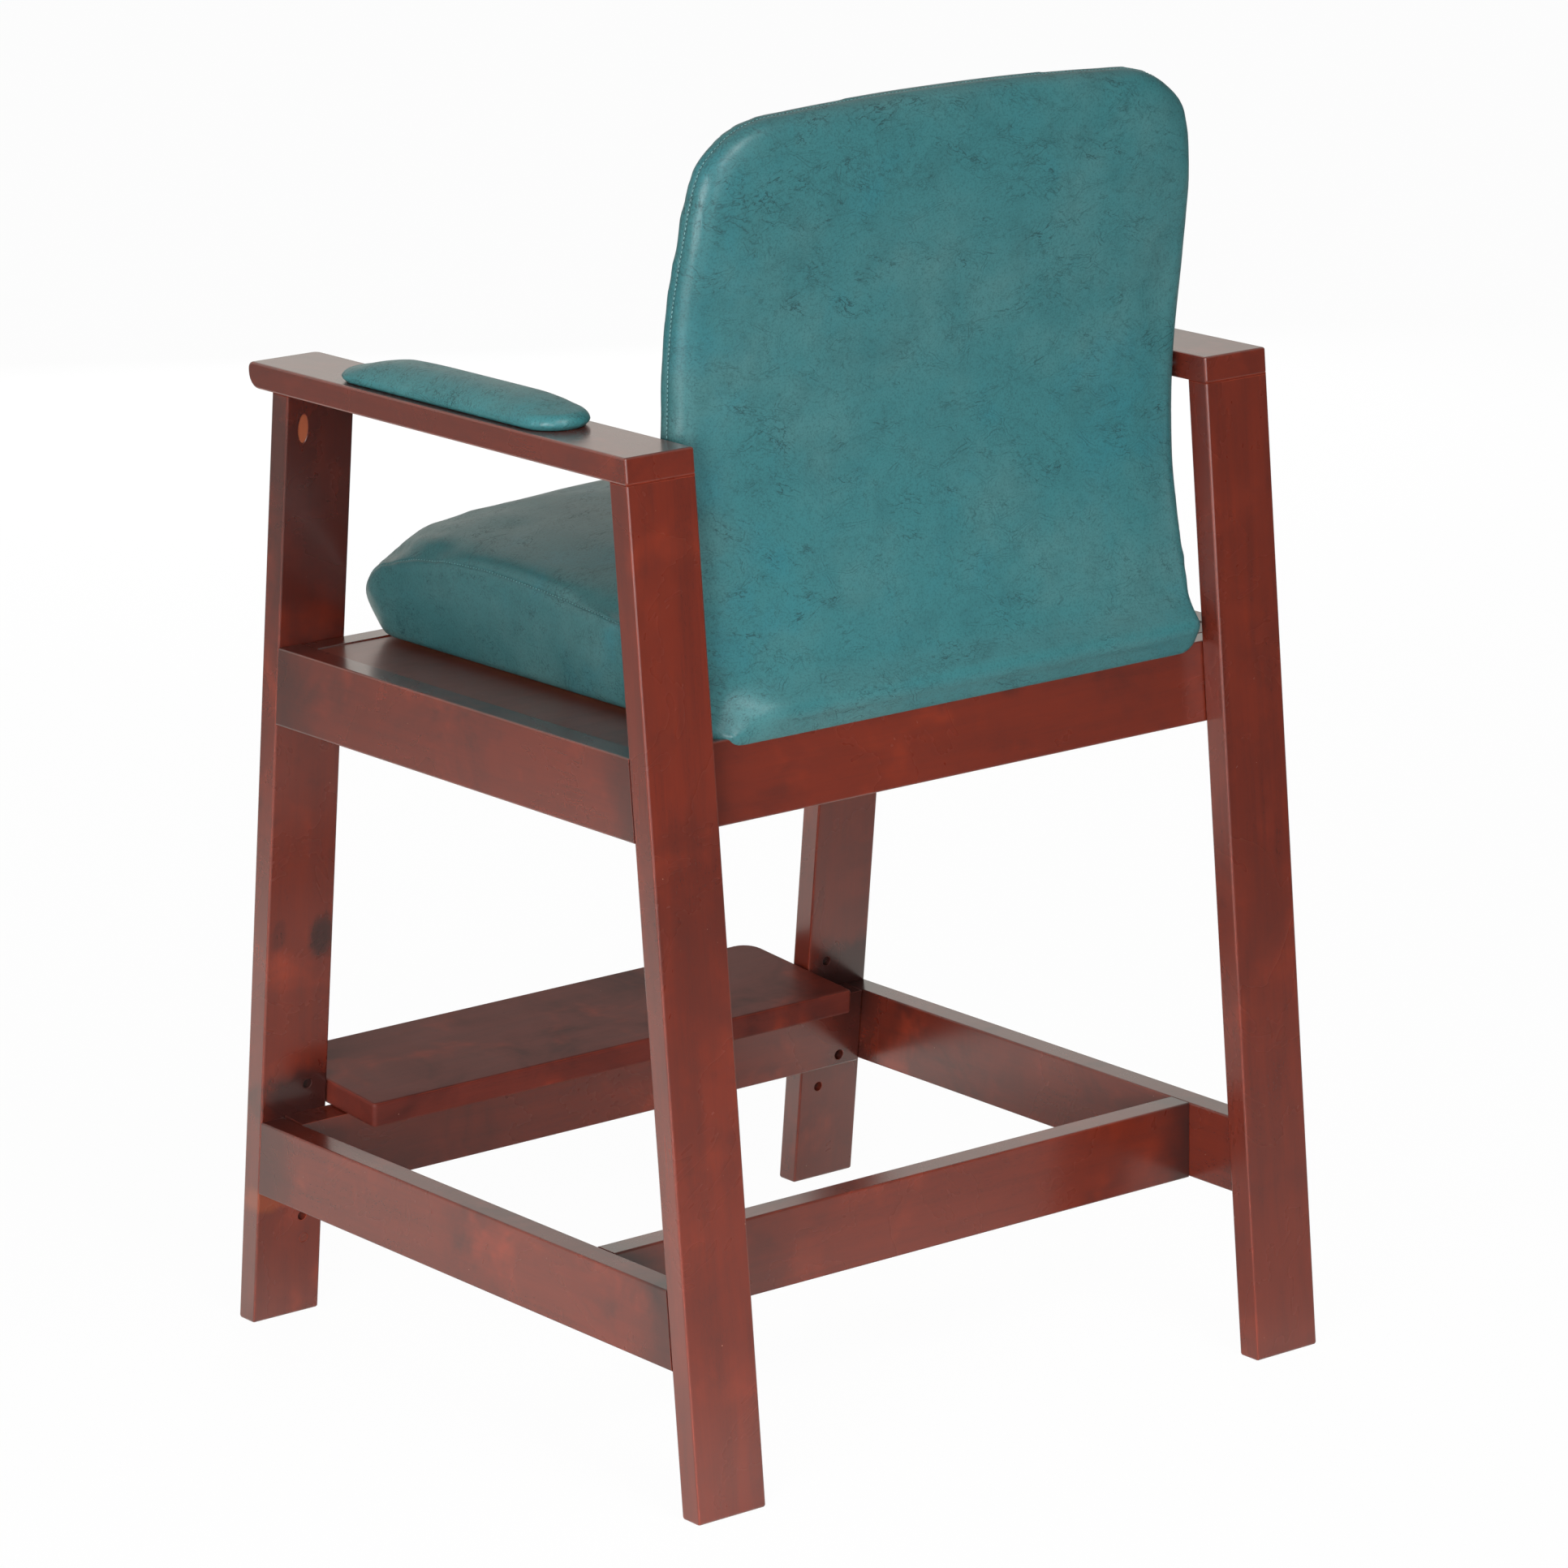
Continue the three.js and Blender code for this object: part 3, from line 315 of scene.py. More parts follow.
class Effects:
    """The effects that several finishes share."""

    def __init__(self) -> None:
        """Builds each group once."""
        self.rubbed_edge = self._rubbed_edge()
        self.stained_grain = self._stained_grain()
        self.crushed_grain = self._crushed_grain()

    @staticmethod
    def _rubbed_edge() -> Group:
        """Finds the arrises of a piece, and rounds them in the light.

        Returns:
            The group.
        """
        group = Group("rubbed_edge", {"Vector": None, "Radius": 0.0008, "Break up": 45.0},
                      {"Edge": "NodeSocketFloat", "Normal": "NodeSocketVector"})
        bench, given = group.bench, group.given
        wide = bench.put("ShaderNodeBevel", {"samples": 6}, Radius=given["Radius"])
        flat = bench.put("ShaderNodeNewGeometry")
        turn = bench.minus(1.0, bench.vector(
            "DOT_PRODUCT", wide.outputs["Normal"], flat.outputs["True Normal"]))
        patchy = bench.ease(bench.noise(given["Vector"], given["Break up"], 2.0), 0.3, 0.62, 0.3)
        group.give(Edge=bench.times(bench.ease(turn, 0.006, 0.08), patchy),
                   Normal=wide.outputs["Normal"])
        return group

    @staticmethod
    def _stained_grain() -> Group:
        """Makes close-grained wood under a wiped stain, its grain along Z of the given vector.

        Returns:
            The group.
        """
        group = Group(
            "stained_grain",
            {"Vector": None, "Across": None, "Base": (0.1, 0.02, 0.01, 1.0),
             "Deep": (0.02, 0.01, 0.01, 1.0), "Thin": (0.2, 0.05, 0.02, 1.0), "Cloud": 0.5,
             "Streak": 0.4, "Edge": 0.0, "Rough": 0.2}, GRAIN_GIVES)
        bench, given = group.bench, group.given
        along, across, deep = given["Vector"], given["Across"], given["Deep"]
        fibre = bench.noise(bench.stretched(along, (1.0, 1.0, 0.045)), 420.0, 3.0, 0.6)
        streak = bench.noise(bench.stretched(along, (1.0, 1.0, 0.09)), 62.0, 4.0, 0.6, 0.4)
        cloud = bench.noise(across, 9.0, 4.0, 0.62, 0.7)
        thin = bench.noise(across, 15.0, 3.0, 0.6, 0.3)
        # pores: short dark ticks along the grain
        pores = bench.cells(bench.stretched(along, (1.0, 1.0, 0.16)), 900.0)
        pore = bench.times(bench.ease(pores, 0.12, 0.3, 1.0, 0.0), bench.ease(streak, 0.42, 0.62))
        lines = bench.times(bench.ease(streak, 0.38, 0.72), given["Streak"])
        # specks: a few pale nicks down to the bare wood
        sparse = bench.ease(bench.noise(across, 31.0, 1.0), 0.58, 0.7)
        speck = bench.times(bench.ease(bench.cells(across, 95.0), 0.028, 0.045, 1.0, 0.0), sparse)
        tone = bench.tint(
            given["Base"],
            (bench.times(bench.ease(cloud, 0.5, 0.78), given["Cloud"]), deep),
            (bench.times(bench.ease(thin, 0.52, 0.8), bench.times(given["Cloud"], 0.55)),
             given["Thin"]),
            (bench.times(lines, 0.45), deep),
            (bench.times(bench.ease(fibre, 0.35, 0.8), 0.12), deep),
            (bench.times(pore, 0.32), deep),
            (given["Edge"], given["Thin"]),
            (bench.times(speck, 0.75), srgb(214, 176, 150)))
        rough = bench.plus(given["Rough"], bench.times(cloud, 0.16))
        rough = bench.plus(rough, bench.times(given["Edge"], 0.5))
        group.give(Color=tone, Roughness=rough, Height=bench.times(pore, -0.5))
        return group

    @staticmethod
    def _crushed_grain() -> Group:
        """Makes vinyl with a fine pebble, and crushed hairline wrinkles in short streaks.

        Returns:
            The group.
        """
        group = Group(
            "crushed_grain",
            {"Vector": None, "Base": (0.05, 0.2, 0.2, 1.0), "Crease": (0.02, 0.1, 0.1, 1.0),
             "Lift": (0.1, 0.3, 0.3, 1.0), "Clear": (0.03, 0.2, 0.25, 1.0), "Crush": 0.6},
            GRAIN_GIVES)
        bench, given = group.bench, group.given
        place, crease = given["Vector"], given["Crease"]

        def bent(scale: float, reach: float) -> Socket:
            """Sways the pattern.

            Args:
                scale: How fine the sway is.
                reach: How far it goes, in metres, from one side to the other.

            Returns:
                The swayed places.
            """
            sway = bench.put("ShaderNodeTexNoise", Vector=place, Scale=scale, Detail=3.0)
            sway = bench.vector("SUBTRACT", sway.outputs["Color"], (0.5, 0.5, 0.5))
            return bench.vector("ADD", place, bench.vector("SCALE", sway, Scale=reach))

        swayed = bent(16.0, 0.03)

        def hairs(lean: float, seed: float, low: float) -> Socket:
            """Makes long thin wrinkles that lean one way and gather in streaks.

            Args:
                lean: How far they lean from level, in degrees.
                seed: What sets them apart from other wrinkles.
                low: Where the streaks begin: the lower, the more of them.

            Returns:
                The wrinkles, from 0 to 1.
            """
            turned = bench.moved(swayed, (seed, 0.5 * seed, -seed), (0.0, math.radians(lean), 0.0))
            drawn = bench.stretched(turned, (0.32, 1.0, 1.35))
            thin = bench.off_middle(bench.noise(drawn, 150.0, 2.5, 0.6))
            dash = bench.ease(bench.noise(drawn, 60.0, 2.0), 0.38, 0.58)
            streak = bench.noise(bench.stretched(turned, (0.6, 1.0, 1.4)), 24.0, 3.0, 0.6)
            return bench.times(bench.ease(thin, 0.0, 0.033, 1.0, 0.0), dash,
                               bench.ease(streak, low, low + 0.28))

        # veins: short hairlines side by side, along the borders of smooth patches
        smooth = bench.stretched(bent(21.0, 0.024), (0.7, 0.9, 1.4))
        fray = bench.minus(bench.noise(place, 120.0, 3.0, 0.65), 0.5)
        border = bench.plus(bench.cells(smooth, 27.0, "DISTANCE_TO_EDGE"), bench.times(fray, 0.09))
        near = bench.times(bench.ease(border, 0.0, 0.15, 1.0, 0.0),
                           bench.ease(bench.noise(smooth, 17.0, 3.0, 0.6), 0.42, 0.62))
        line = bench.off_middle(bench.math("FRACT", bench.times(border, 17.0)))
        dash = bench.ease(bench.noise(smooth, 80.0, 2.0), 0.42, 0.56)
        veins = bench.times(bench.ease(line, 0.0, 0.22, 1.0, 0.0), dash, near)
        # short cracks, everywhere but thickest in patches
        crack = bench.cells(bench.stretched(bent(110.0, 0.009), (0.75, 0.9, 1.35)), 290.0,
                            "DISTANCE_TO_EDGE")
        apart = bench.ease(bench.noise(place, 130.0, 2.0, 0.6), 0.47, 0.6)
        patch = bench.ease(bench.noise(place, 26.0, 4.0, 0.65), 0.44, 0.66, 0.08, 1.0)
        crack = bench.times(bench.ease(crack, 0.0, 0.1, 0.7, 0.0), apart, patch)
        # the wrinkles lean a little off level, with fewer that stand upright
        marks = bench.most(hairs(24.0, 0.0, 0.4), hairs(-14.0, 1.7, 0.42), hairs(78.0, 3.1, 0.5),
                           bench.times(veins, 0.8), crack)
        # the wrinkles and cracks are darkened in colour as well as pressed in
        mark_darkening = bench.math("MULTIPLY", marks, given["Crush"], clamp=True)
        broad = bench.noise(place, 9.0, 4.0, 0.6)
        deep = bench.noise(place, 24.0, 4.0, 0.65)
        blue = bench.noise(bench.vector("ADD", place, (3.1, 1.7, 0.9)), 13.0, 3.0, 0.6)
        speck = bench.noise(place, 560.0, 3.0, 0.7)
        tone = bench.tint(given["Base"],
                          (bench.ease(broad, 0.4, 0.72, 0.0, 0.5), given["Lift"]),
                          (bench.ease(deep, 0.46, 0.74, 0.0, 0.2), crease),
                          (bench.ease(blue, 0.52, 0.74, 0.0, 0.4), given["Clear"]),
                          (mark_darkening, crease),
                          (bench.ease(speck, 0.46, 0.7, 0.0, 0.42), crease))
        pebble = bench.times(bench.cells(place, 700.0), 0.35)
        group.give(Color=tone, Roughness=bench.plus(0.37, bench.times(mark_darkening, 0.2)),
                   Height=bench.minus(pebble, bench.times(marks, 0.8)))
        return group


class Finish:
    """A material that is started here and filled in by one of the finishes below."""

    def __init__(self, name: str, effects: Effects) -> None:
        """Makes a material with a bare Principled shader.

        Args:
            name: The material's name.
            effects: The shared node groups.
        """
        self.effects = effects
        self.material = bpy.data.materials.new(name)
        self.bench = fresh_bench(self.material)
        self.shader = self.bench.put("ShaderNodeBsdfPrincipled")
        self.bench.put("ShaderNodeOutputMaterial", Surface=self.shader.outputs["BSDF"])
        self.place = self.bench.put("ShaderNodeTexCoord").outputs["Object"]

    def shifted(self, *shift: float) -> Socket:
        """Returns the piece's places, shifted so that no two pieces show the same pattern."""
        return self.bench.moved(self.place, shift)

    def set(self, **sockets: Value) -> None:
        """Sets inputs of the Principled shader."""
        for key, value in sockets.items():
            self.bench.feed(self.shader.inputs[key.replace("_", " ")], value)

    def bump(self, height: Value, depth: float, **normal: Value) -> None:
        """Adds relief, its depth in metres, over another normal where one is given."""
        self.set(Normal=self.bench.put("ShaderNodeBump", Strength=1.0, Distance=depth,
                                       Height=height, **normal).outputs["Normal"])


class Look:
    """What every finish does."""

    def material(self, name: str, effects: Effects) -> Material:
        """Builds the finish for one piece.

        Args:
            name: The material's name.
            effects: The shared node groups.

        Returns:
            The material.
        """
        finish = Finish(name, effects)
        self.paint(finish)
        return finish.material

    def paint(self, finish: Finish) -> None:
        """Fills in the material, each finish in its own way.

        Args:
            finish: The material that was started.
        """
        raise NotImplementedError


@dataclass(frozen=True)
class StainAndPaintedLightPatch:
    """A patch tinted another colour: thicker stain, and on a few boards painted shade and a painted
    glow.
    """

    centre: Place
    reach: Place
    strength: float = 0.8
    shade: Tone = (34, 20, 20)


@dataclass(frozen=True)
class StainedWood(Look):
    """Cherry stain on close-grained hardwood, under a satin lacquer."""

    along: Along
    seed: int
    lean: float = 0.0
    tone: Tone = (106, 36, 21)
    deep: Tone = (34, 20, 20)
    thin: Tone = (182, 66, 34)
    cloud: float = 0.5
    streak: float = 0.4
    stain_and_painted_light_patches: tuple[StainAndPaintedLightPatch, ...] = ()
    ends: tuple[float, float] | None = None
    end_darkening: float = 0.6
    rough: float = 0.2
    shine: float = 1.0
    run_in: float = 0.055
    patch_edge: tuple[float, float] = (0.45, 1.05)
    patch_wobble: float = 1.6
    end_wobble: float = 0.05

    def paint(self, finish: Finish) -> None:
        """Adds the grain, the tinted patches, a darkening toward each end, and the lacquer.

        Args:
            finish: The material that was started.
        """
        bench = finish.bench
        axis, upright = self.along.value
        shifted = finish.shifted(0.37 * self.seed, 0.61 * self.seed, 0.13)
        turn = Vector(upright) + Vector((math.radians(self.lean), 0, 0))
        edge = finish.effects.rubbed_edge.place(bench, Vector=shifted)
        deep = srgb(*self.deep)
        grain = finish.effects.stained_grain.place(
            bench, Vector=bench.moved(shifted, turn=turn), Across=shifted, Base=srgb(*self.tone),
            Deep=deep, Thin=srgb(*self.thin), Cloud=self.cloud, Streak=self.streak,
            Rough=self.rough, Edge=bench.times(edge["Edge"], 0.8))
        colour = grain["Color"]
        wobble = bench.minus(bench.noise(shifted, 24.0, 4.0, 0.6), 0.5)
        # each patch tints the colour toward its own; on the front left leg and the apron some are
        # painted shade, and one a painted glow
        for tinted_patch in self.stain_and_painted_light_patches:
            away = bench.vector("SUBTRACT", finish.place, tinted_patch.centre)
            away = bench.vector("LENGTH", bench.vector("DIVIDE", away, tinted_patch.reach))
            away = bench.plus(away, bench.times(wobble, self.patch_wobble))
            share = bench.ease(away, *self.patch_edge, tinted_patch.strength, 0.0)
            colour = bench.blend(share, colour, srgb(*tinted_patch.shade))
        # each board darkens toward both ends
        if self.ends:
            low, high = self.ends
            run = bench.plus(bench.axis(finish.place, axis), bench.times(wobble, self.end_wobble))
            toward_end = bench.most(bench.ease(run, low, low + self.run_in, 1.0, 0.0),
                              bench.ease(run, high - self.run_in, high))
            colour = bench.blend(bench.times(toward_end, self.end_darkening), colour, deep)
        unworn = bench.math("SUBTRACT", 1.0, edge["Edge"], clamp=True)
        finish.set(Base_Color=colour, Roughness=grain["Roughness"],
                   Specular_IOR_Level=0.2 + 0.3 * self.shine, Coat_Roughness=0.2,
                   Coat_Weight=bench.times(unworn, self.shine))
        finish.bump(grain["Height"], 0.00002, Normal=edge["Normal"])


@dataclass(frozen=True)
class TealVinyl(Look):
    """Vinyl-coated cloth with a crushed leather grain, pulled over foam."""

    seed: int
    tone: Tone = (54, 114, 118)
    crease: Tone = (22, 56, 60)
    lift: Tone = (82, 124, 124)
    clear: Tone = (40, 116, 127)
    # gap and valley are the colours of the painted shade along the seam
    gap: Tone = (16, 44, 48)
    valley: Tone = (26, 62, 66)
    crush: float = 0.85
    seam_width: float = 0.0011

    def paint(self, finish: Finish) -> None:
        """Adds the grain, the seam's shallow valley, and painted shade along the seam: a dark line
        and a darker tint over the valley.

        Args:
            finish: The material that was started.
        """
        bench = finish.bench
        grain = finish.effects.crushed_grain.place(
            bench, Vector=finish.shifted(0.29 * self.seed, 0.43 * self.seed, 0.17),
            Base=srgb(*self.tone), Crease=srgb(*self.crease), Lift=srgb(*self.lift),
            Clear=srgb(*self.clear), Crush=self.crush)
        seam = bench.put("ShaderNodeAttribute", {"attribute_name": "seam"})
        away = bench.math("ABSOLUTE", seam.outputs["Fac"])
        gap = bench.ease(away, 0.0, self.seam_width * 0.5, 1.0, 0.0)
        valley = bench.ease(away, 0.0, self.seam_width * 2.0, 1.0, 0.0)
        # painted shade: a dark line in the seam and a darker tint over its valley
        colour = bench.tint(grain["Color"], (bench.times(gap, 0.8), srgb(*self.gap)),
                            (bench.times(valley, 0.2), srgb(*self.valley)))
        finish.set(Base_Color=colour, Roughness=grain["Roughness"], Specular_IOR_Level=0.5)
        finish.bump(bench.minus(bench.times(grain["Height"], 0.2), bench.times(valley, 0.9)),
                    0.0005)


@dataclass(frozen=True)
class Plywood(Look):
    """Plain plywood or softwood that shows its plies or its grain at the edges."""

    seed: int
    tone: Tone = (182, 146, 101)
    deep: Tone = (132, 94, 58)
    thin: Tone = (203, 172, 128)
    ply: Tone = (120, 84, 52)
    plies: float = 620.0

    def paint(self, finish: Finish) -> None:
        """Adds the grain, and dark layers where a face stands upright.

        Args:
            finish: The material that was started.
        """
        bench = finish.bench
        shifted = finish.shifted(0.21 * self.seed, 0.33 * self.seed, 0.0)
        grain = finish.effects.stained_grain.place(
            bench, Vector=bench.moved(shifted, turn=Along.WIDTH.value[1]), Across=shifted,
            Base=srgb(*self.tone), Deep=srgb(*self.deep), Thin=srgb(*self.thin),
            Cloud=0.5, Streak=0.5, Edge=0.0)
        layer = bench.math("SINE", bench.times(bench.axis(finish.place, "Z"), self.plies * 2))
        facing = bench.put("ShaderNodeNewGeometry").outputs["True Normal"]
        side = bench.minus(1.0, bench.math("ABSOLUTE", bench.axis(facing, "Z")))
        dark = bench.times(bench.ease(layer, 0.1, 0.7, 0.0, 0.5), side)
        finish.set(Base_Color=bench.blend(dark, grain["Color"], srgb(*self.ply)),
                   Roughness=0.72, Specular_IOR_Level=0.25)
        finish.bump(grain["Height"], 0.00012)


@dataclass(frozen=True)
class BareWood(Look):
    """A plug of bare wood with a little of the stain on it."""

    seed: int
    tone: Tone = (163, 86, 56)
    deep: Tone = (88, 40, 30)
    thin: Tone = (204, 130, 92)

    def paint(self, finish: Finish) -> None:
        """Adds a coarse grain without lacquer.

        Args:
            finish: The material that was started.
        """
        bench = finish.bench
        shifted = finish.shifted(0.4 * self.seed, 0.2 * self.seed, 0.0)
        grain = finish.effects.stained_grain.place(
            bench, Vector=shifted, Across=shifted, Base=srgb(*self.tone), Deep=srgb(*self.deep),
            Thin=srgb(*self.thin), Cloud=0.9, Streak=0.7, Edge=0.0)
        finish.set(Base_Color=grain["Color"], Roughness=0.6, Specular_IOR_Level=0.3)
        finish.bump(grain["Height"], 0.0001)


def dimmed(colour: Tone, share: float) -> Colour:
    """Returns a darker cut of a colour, ready for a shader."""
    return srgb(*(int(part * share) for part in colour))


@dataclass(frozen=True)
class PlatedMetal(Look):
    """Bright metal with a brushed or turned face."""

    colour: Tone = (176, 180, 184)
    rough: float = 0.3

    def paint(self, finish: Finish) -> None:
        """Adds dull clouds and fine tool marks.

        Args:
            finish: The material that was started.
        """
        bench = finish.bench
        edge = finish.effects.rubbed_edge.place(bench, Vector=finish.place, Radius=0.0004)
        cloud = bench.noise(finish.place, 380.0, 4.0, 0.6)
        tone = bench.blend(bench.ease(cloud, 0.4, 0.7), srgb(*self.colour),
                           dimmed(self.colour, 0.72))
        lines = bench.noise(bench.stretched(finish.place, (1.0, 1.0, 0.05)), 2600.0)
        finish.set(Base_Color=tone, Metallic=1.0,
                   Roughness=bench.plus(self.rough, bench.times(cloud, 0.18)))
        finish.bump(lines, 0.00002, Normal=edge["Normal"])


@dataclass(frozen=True)
class Thread(Look):
    """Twisted polyester sewing thread."""

    colour: Tone

    def paint(self, finish: Finish) -> None:
        """Adds the twist, for which no shared effect is needed.

        Args:
            finish: The material that was started.
        """
        bench = finish.bench
        twist = bench.put("ShaderNodeTexWave", {"wave_type": "BANDS", "bands_direction":
                          "DIAGONAL"}, Vector=finish.place, Scale=900.0, Distortion=0.5)
        twist = twist.outputs["Fac"]
        finish.set(Base_Color=bench.blend(twist, dimmed(self.colour, 0.6), srgb(*self.colour)),
                   Roughness=0.55, Specular_IOR_Level=0.35)
        finish.bump(twist, 0.00008)


def rows_of(items: bpy.types.bpy_prop_collection, key: str) -> np.ndarray:
    """Reads three numbers of each of a mesh's items.

    Args:
        items: The vertices or their normals.
        key: What is read.

    Returns:
        Rows of x, y and z.
    """
    rows = np.empty(len(items) * 3)
    items.foreach_get(key, rows)
    return rows.reshape(-1, 3)


def places_of(mesh: Mesh) -> np.ndarray:
    """Returns a mesh's vertex places as rows."""
    return rows_of(mesh.vertices, "co")


def normals_of(mesh: Mesh) -> np.ndarray:
    """Returns a mesh's vertex normals as rows."""
    return rows_of(mesh.vertex_normals, "vector")


def move_to(mesh: Mesh, places: np.ndarray) -> None:
    """Moves a mesh's vertices to the rows given."""
    mesh.vertices.foreach_set("co", places.astype(np.float32).ravel())
    mesh.update()


def show(name: str, data: bpy.types.ID) -> Object:
    """Puts a mesh, a lamp or a camera in the scene.

    Args:
        name: The object's name.
        data: What it shows.

    Returns:
        The object, at the origin.
    """
    thing = bpy.data.objects.new(name, data)
    bpy.context.scene.collection.objects.link(thing)
    return thing


def settle(thing: Object, name: str) -> Mesh:
    """Applies an object's modifiers.

    Args:
        thing: The object.
        name: The new mesh's name.

    Returns:
        The mesh that they make.
    """
    bpy.context.view_layer.update()
    graph = bpy.context.evaluated_depsgraph_get()
    mesh = bpy.data.meshes.new_from_object(thing.evaluated_get(graph), depsgraph=graph)
    mesh.name = name
    return mesh


def search_tree(places: np.ndarray) -> KDTree:
    """Sorts places so that the nearest is found fast.

    Args:
        places: Rows of places.

    Returns:
        The tree, numbered as the rows are.
    """
    tree = KDTree(len(places))
    for index, place in enumerate(places):
        tree.insert(place, index)
    tree.balance()
    return tree


def distances(tree: KDTree, places: np.ndarray) -> np.ndarray:
    """Returns how far each place is from the nearest one of a tree."""
    return np.array([tree.find(place)[2] for place in places])


def smooth(share: np.ndarray) -> np.ndarray:
    """Eases a share from 0 to 1, flat at both ends."""
    return share * share * (3 - 2 * share)


def within(share: float) -> float:
    """Keeps a share from 0 to 1."""
    return min(1.0, max(0.0, share))


def hermite(t: np.ndarray | float) -> tuple[np.ndarray | float, ...]:
    """Returns the weights, at t of a stretch, of its start, its end and the slopes there."""
    return (2 * t ** 3 - 3 * t ** 2 + 1, 3 * t ** 2 - 2 * t ** 3, t ** 3 - 2 * t ** 2 + t,
            t ** 3 - t ** 2)


@dataclass
class Stuffing:
    """How a padded piece is filled, and the cloth that covers it."""

    voxel: float
    slack: float
    puff: float
    fill: float
    pressure: float = 4.0
    frames: int = 20
    quality: int = 5
    mass: float = 0.4
    stretch_stiffness: float = 20.0
    bend_stiffness: float = 3.0


class Padding:
    """Makes a stuffed form from the solids that hold its place."""

    GROWN = 0.0003  # how far each solid is grown, so that touching ones join
    SEAM_GRIP = 1.4  # how firmly a seam holds at its middle, where 1 is fast
    SEAM_REACH = 0.006  # the distance over which it holds by 1 less

    def __init__(self, name: str, solids: Sequence[str | Mesh], stuffing: Stuffing) -> None:
        """Joins the solids in one closed, evenly meshed blank.

        Args:
            name: The piece's name.
            solids: Closed forms whose space it fills, each a mesh or the name of a node.
            stuffing: How it is filled.
        """
        self.name, self.stuffing = name, stuffing
        joined = bmesh.new()
        for solid in solids:
            part = bmesh.new()
            part.from_mesh(frame["nodes"][solid].data if isinstance(solid, str) else solid)
            bmesh.ops.remove_doubles(part, verts=part.verts, dist=1e-6)
            part.normal_update()
            for vert in part.verts:
                vert.co += vert.normal * self.GROWN
            mesh = bpy.data.meshes.new("part")
            part.to_mesh(mesh)
            joined.from_mesh(mesh)
            part.free()
            bpy.data.meshes.remove(mesh)
        mesh = bpy.data.meshes.new(name)
        joined.to_mesh(mesh)
        joined.free()
        self.thing = show(name, mesh)
        remesh = self.thing.modifiers.new("even", "REMESH")
        remesh.mode = "VOXEL"
        remesh.voxel_size = stuffing.voxel
        self._take(settle(self.thing, name))

    def _take(self, mesh: Mesh) -> None:
        """Gives the piece a new mesh and drops its modifiers and old mesh.

        Args:
            mesh: The new mesh.
        """
        self.thing.modifiers.clear()
        old = self.thing.data
        self.thing.data = mesh
        bpy.data.meshes.remove(old)

    def _mean(self) -> Callable[[np.ndarray], np.ndarray]:
        """Finds each vertex's neighbours.

        Returns:
            A function that averages one number per vertex over the neighbours.
        """
        mesh = self.thing.data
        edges = np.empty(len(mesh.edges) * 2, dtype=np.int64)
        mesh.edges.foreach_get("vertices", edges)
        first, second = edges.reshape(-1, 2).T
        size = len(mesh.vertices)
        count = np.bincount(first, minlength=size) + np.bincount(second, minlength=size)
        count = np.maximum(count, 1)
        return lambda values: (np.bincount(first, values[second], size)
                               + np.bincount(second, values[first], size)) / count

    def relax(self, rounds: int, share: float = 0.5, regain: float = 1.04) -> None:
        """Evens out the facets without shrinking the form.

        Args:
            rounds: How often the facets are evened out and the form swelled back.
            share: How far a vertex moves toward the middle of its neighbours.
            regain: How much of that it moves back.
        """
        places, mean = places_of(self.thing.data), self._mean()
        for turn in range(2 * rounds):
            around = np.stack([mean(places[:, axis]) for axis in range(3)], axis=1)
            places += (share if turn % 2 == 0 else -share * regain) * (around - places)
        move_to(self.thing.data, places)

    def spread(self, values: np.ndarray, rounds: int) -> np.ndarray:
        """Evens out one number per vertex over the mesh.

        Args:
            values: The numbers.
            rounds: How often each is drawn halfway to its neighbours.

        Returns:
            The new numbers.
        """
        mean = self._mean()
        for _ in range(rounds):
            values = 0.5 * values + 0.5 * mean(values)
        return values

    def swell(self, held: Callable[[np.ndarray], np.ndarray]) -> None:
        """Draws the form in, then blows it up against its seams.

        Args:
            held: Gives, for rows of places, how firmly the cover is held there, from 0 to 1.
        """
        mesh, stuffing = self.thing.data, self.stuffing
        start = places_of(mesh)
        firm = self.spread(held(start), 1)
        out = normals_of(mesh)
        start = start - out * stuffing.slack
        move_to(mesh, start)
        lift = np.maximum((self._blow(start, firm) * out).sum(axis=1), 0.0)
        lift = stuffing.puff * np.tanh(lift / stuffing.puff)
        lift = self.spread(lift * (1 - firm), 8)
        move_to(mesh, start + out * lift[:, None])

    def _blow(self, start: np.ndarray, firm: np.ndarray) -> np.ndarray:
        """Runs the cover as cloth under pressure.

        Args:
            start: Rows of the vertices' places.
            firm: How firmly each is held, from 0 to 1.

        Returns:
            Rows that say how far each vertex moved.
        """
        stuffing = self.stuffing
        pins = self.thing.vertex_groups.new(name="held")
        rounded = np.round(firm, 1)
        for level in np.unique(rounded):
            pins.add(np.nonzero(rounded == level)[0].tolist(), float(level), "REPLACE")
        cloth = self.thing.modifiers.new("cover", "CLOTH")
        settings = cloth.settings
        settings.quality, settings.mass = stuffing.quality, stuffing.mass
        settings.tension_stiffness = stuffing.stretch_stiffness
        settings.compression_stiffness = stuffing.stretch_stiffness
        settings.bending_stiffness = stuffing.bend_stiffness
        settings.use_pressure = True
        settings.uniform_pressure_force = stuffing.pressure
        settings.effector_weights.gravity = 0.0
        settings.vertex_group_mass = "held"
        cloth.point_cache.frame_start, cloth.point_cache.frame_end = 1, stuffing.frames
        scene = bpy.context.scene
        for step in range(1, stuffing.frames + 1):
            scene.frame_set(step)
        blown = settle(self.thing, "blown")
        move = places_of(blown) - start
        bpy.data.meshes.remove(blown)
        scene.frame_set(1)
        self.thing.modifiers.clear()
        self.thing.vertex_groups.clear()
        return move

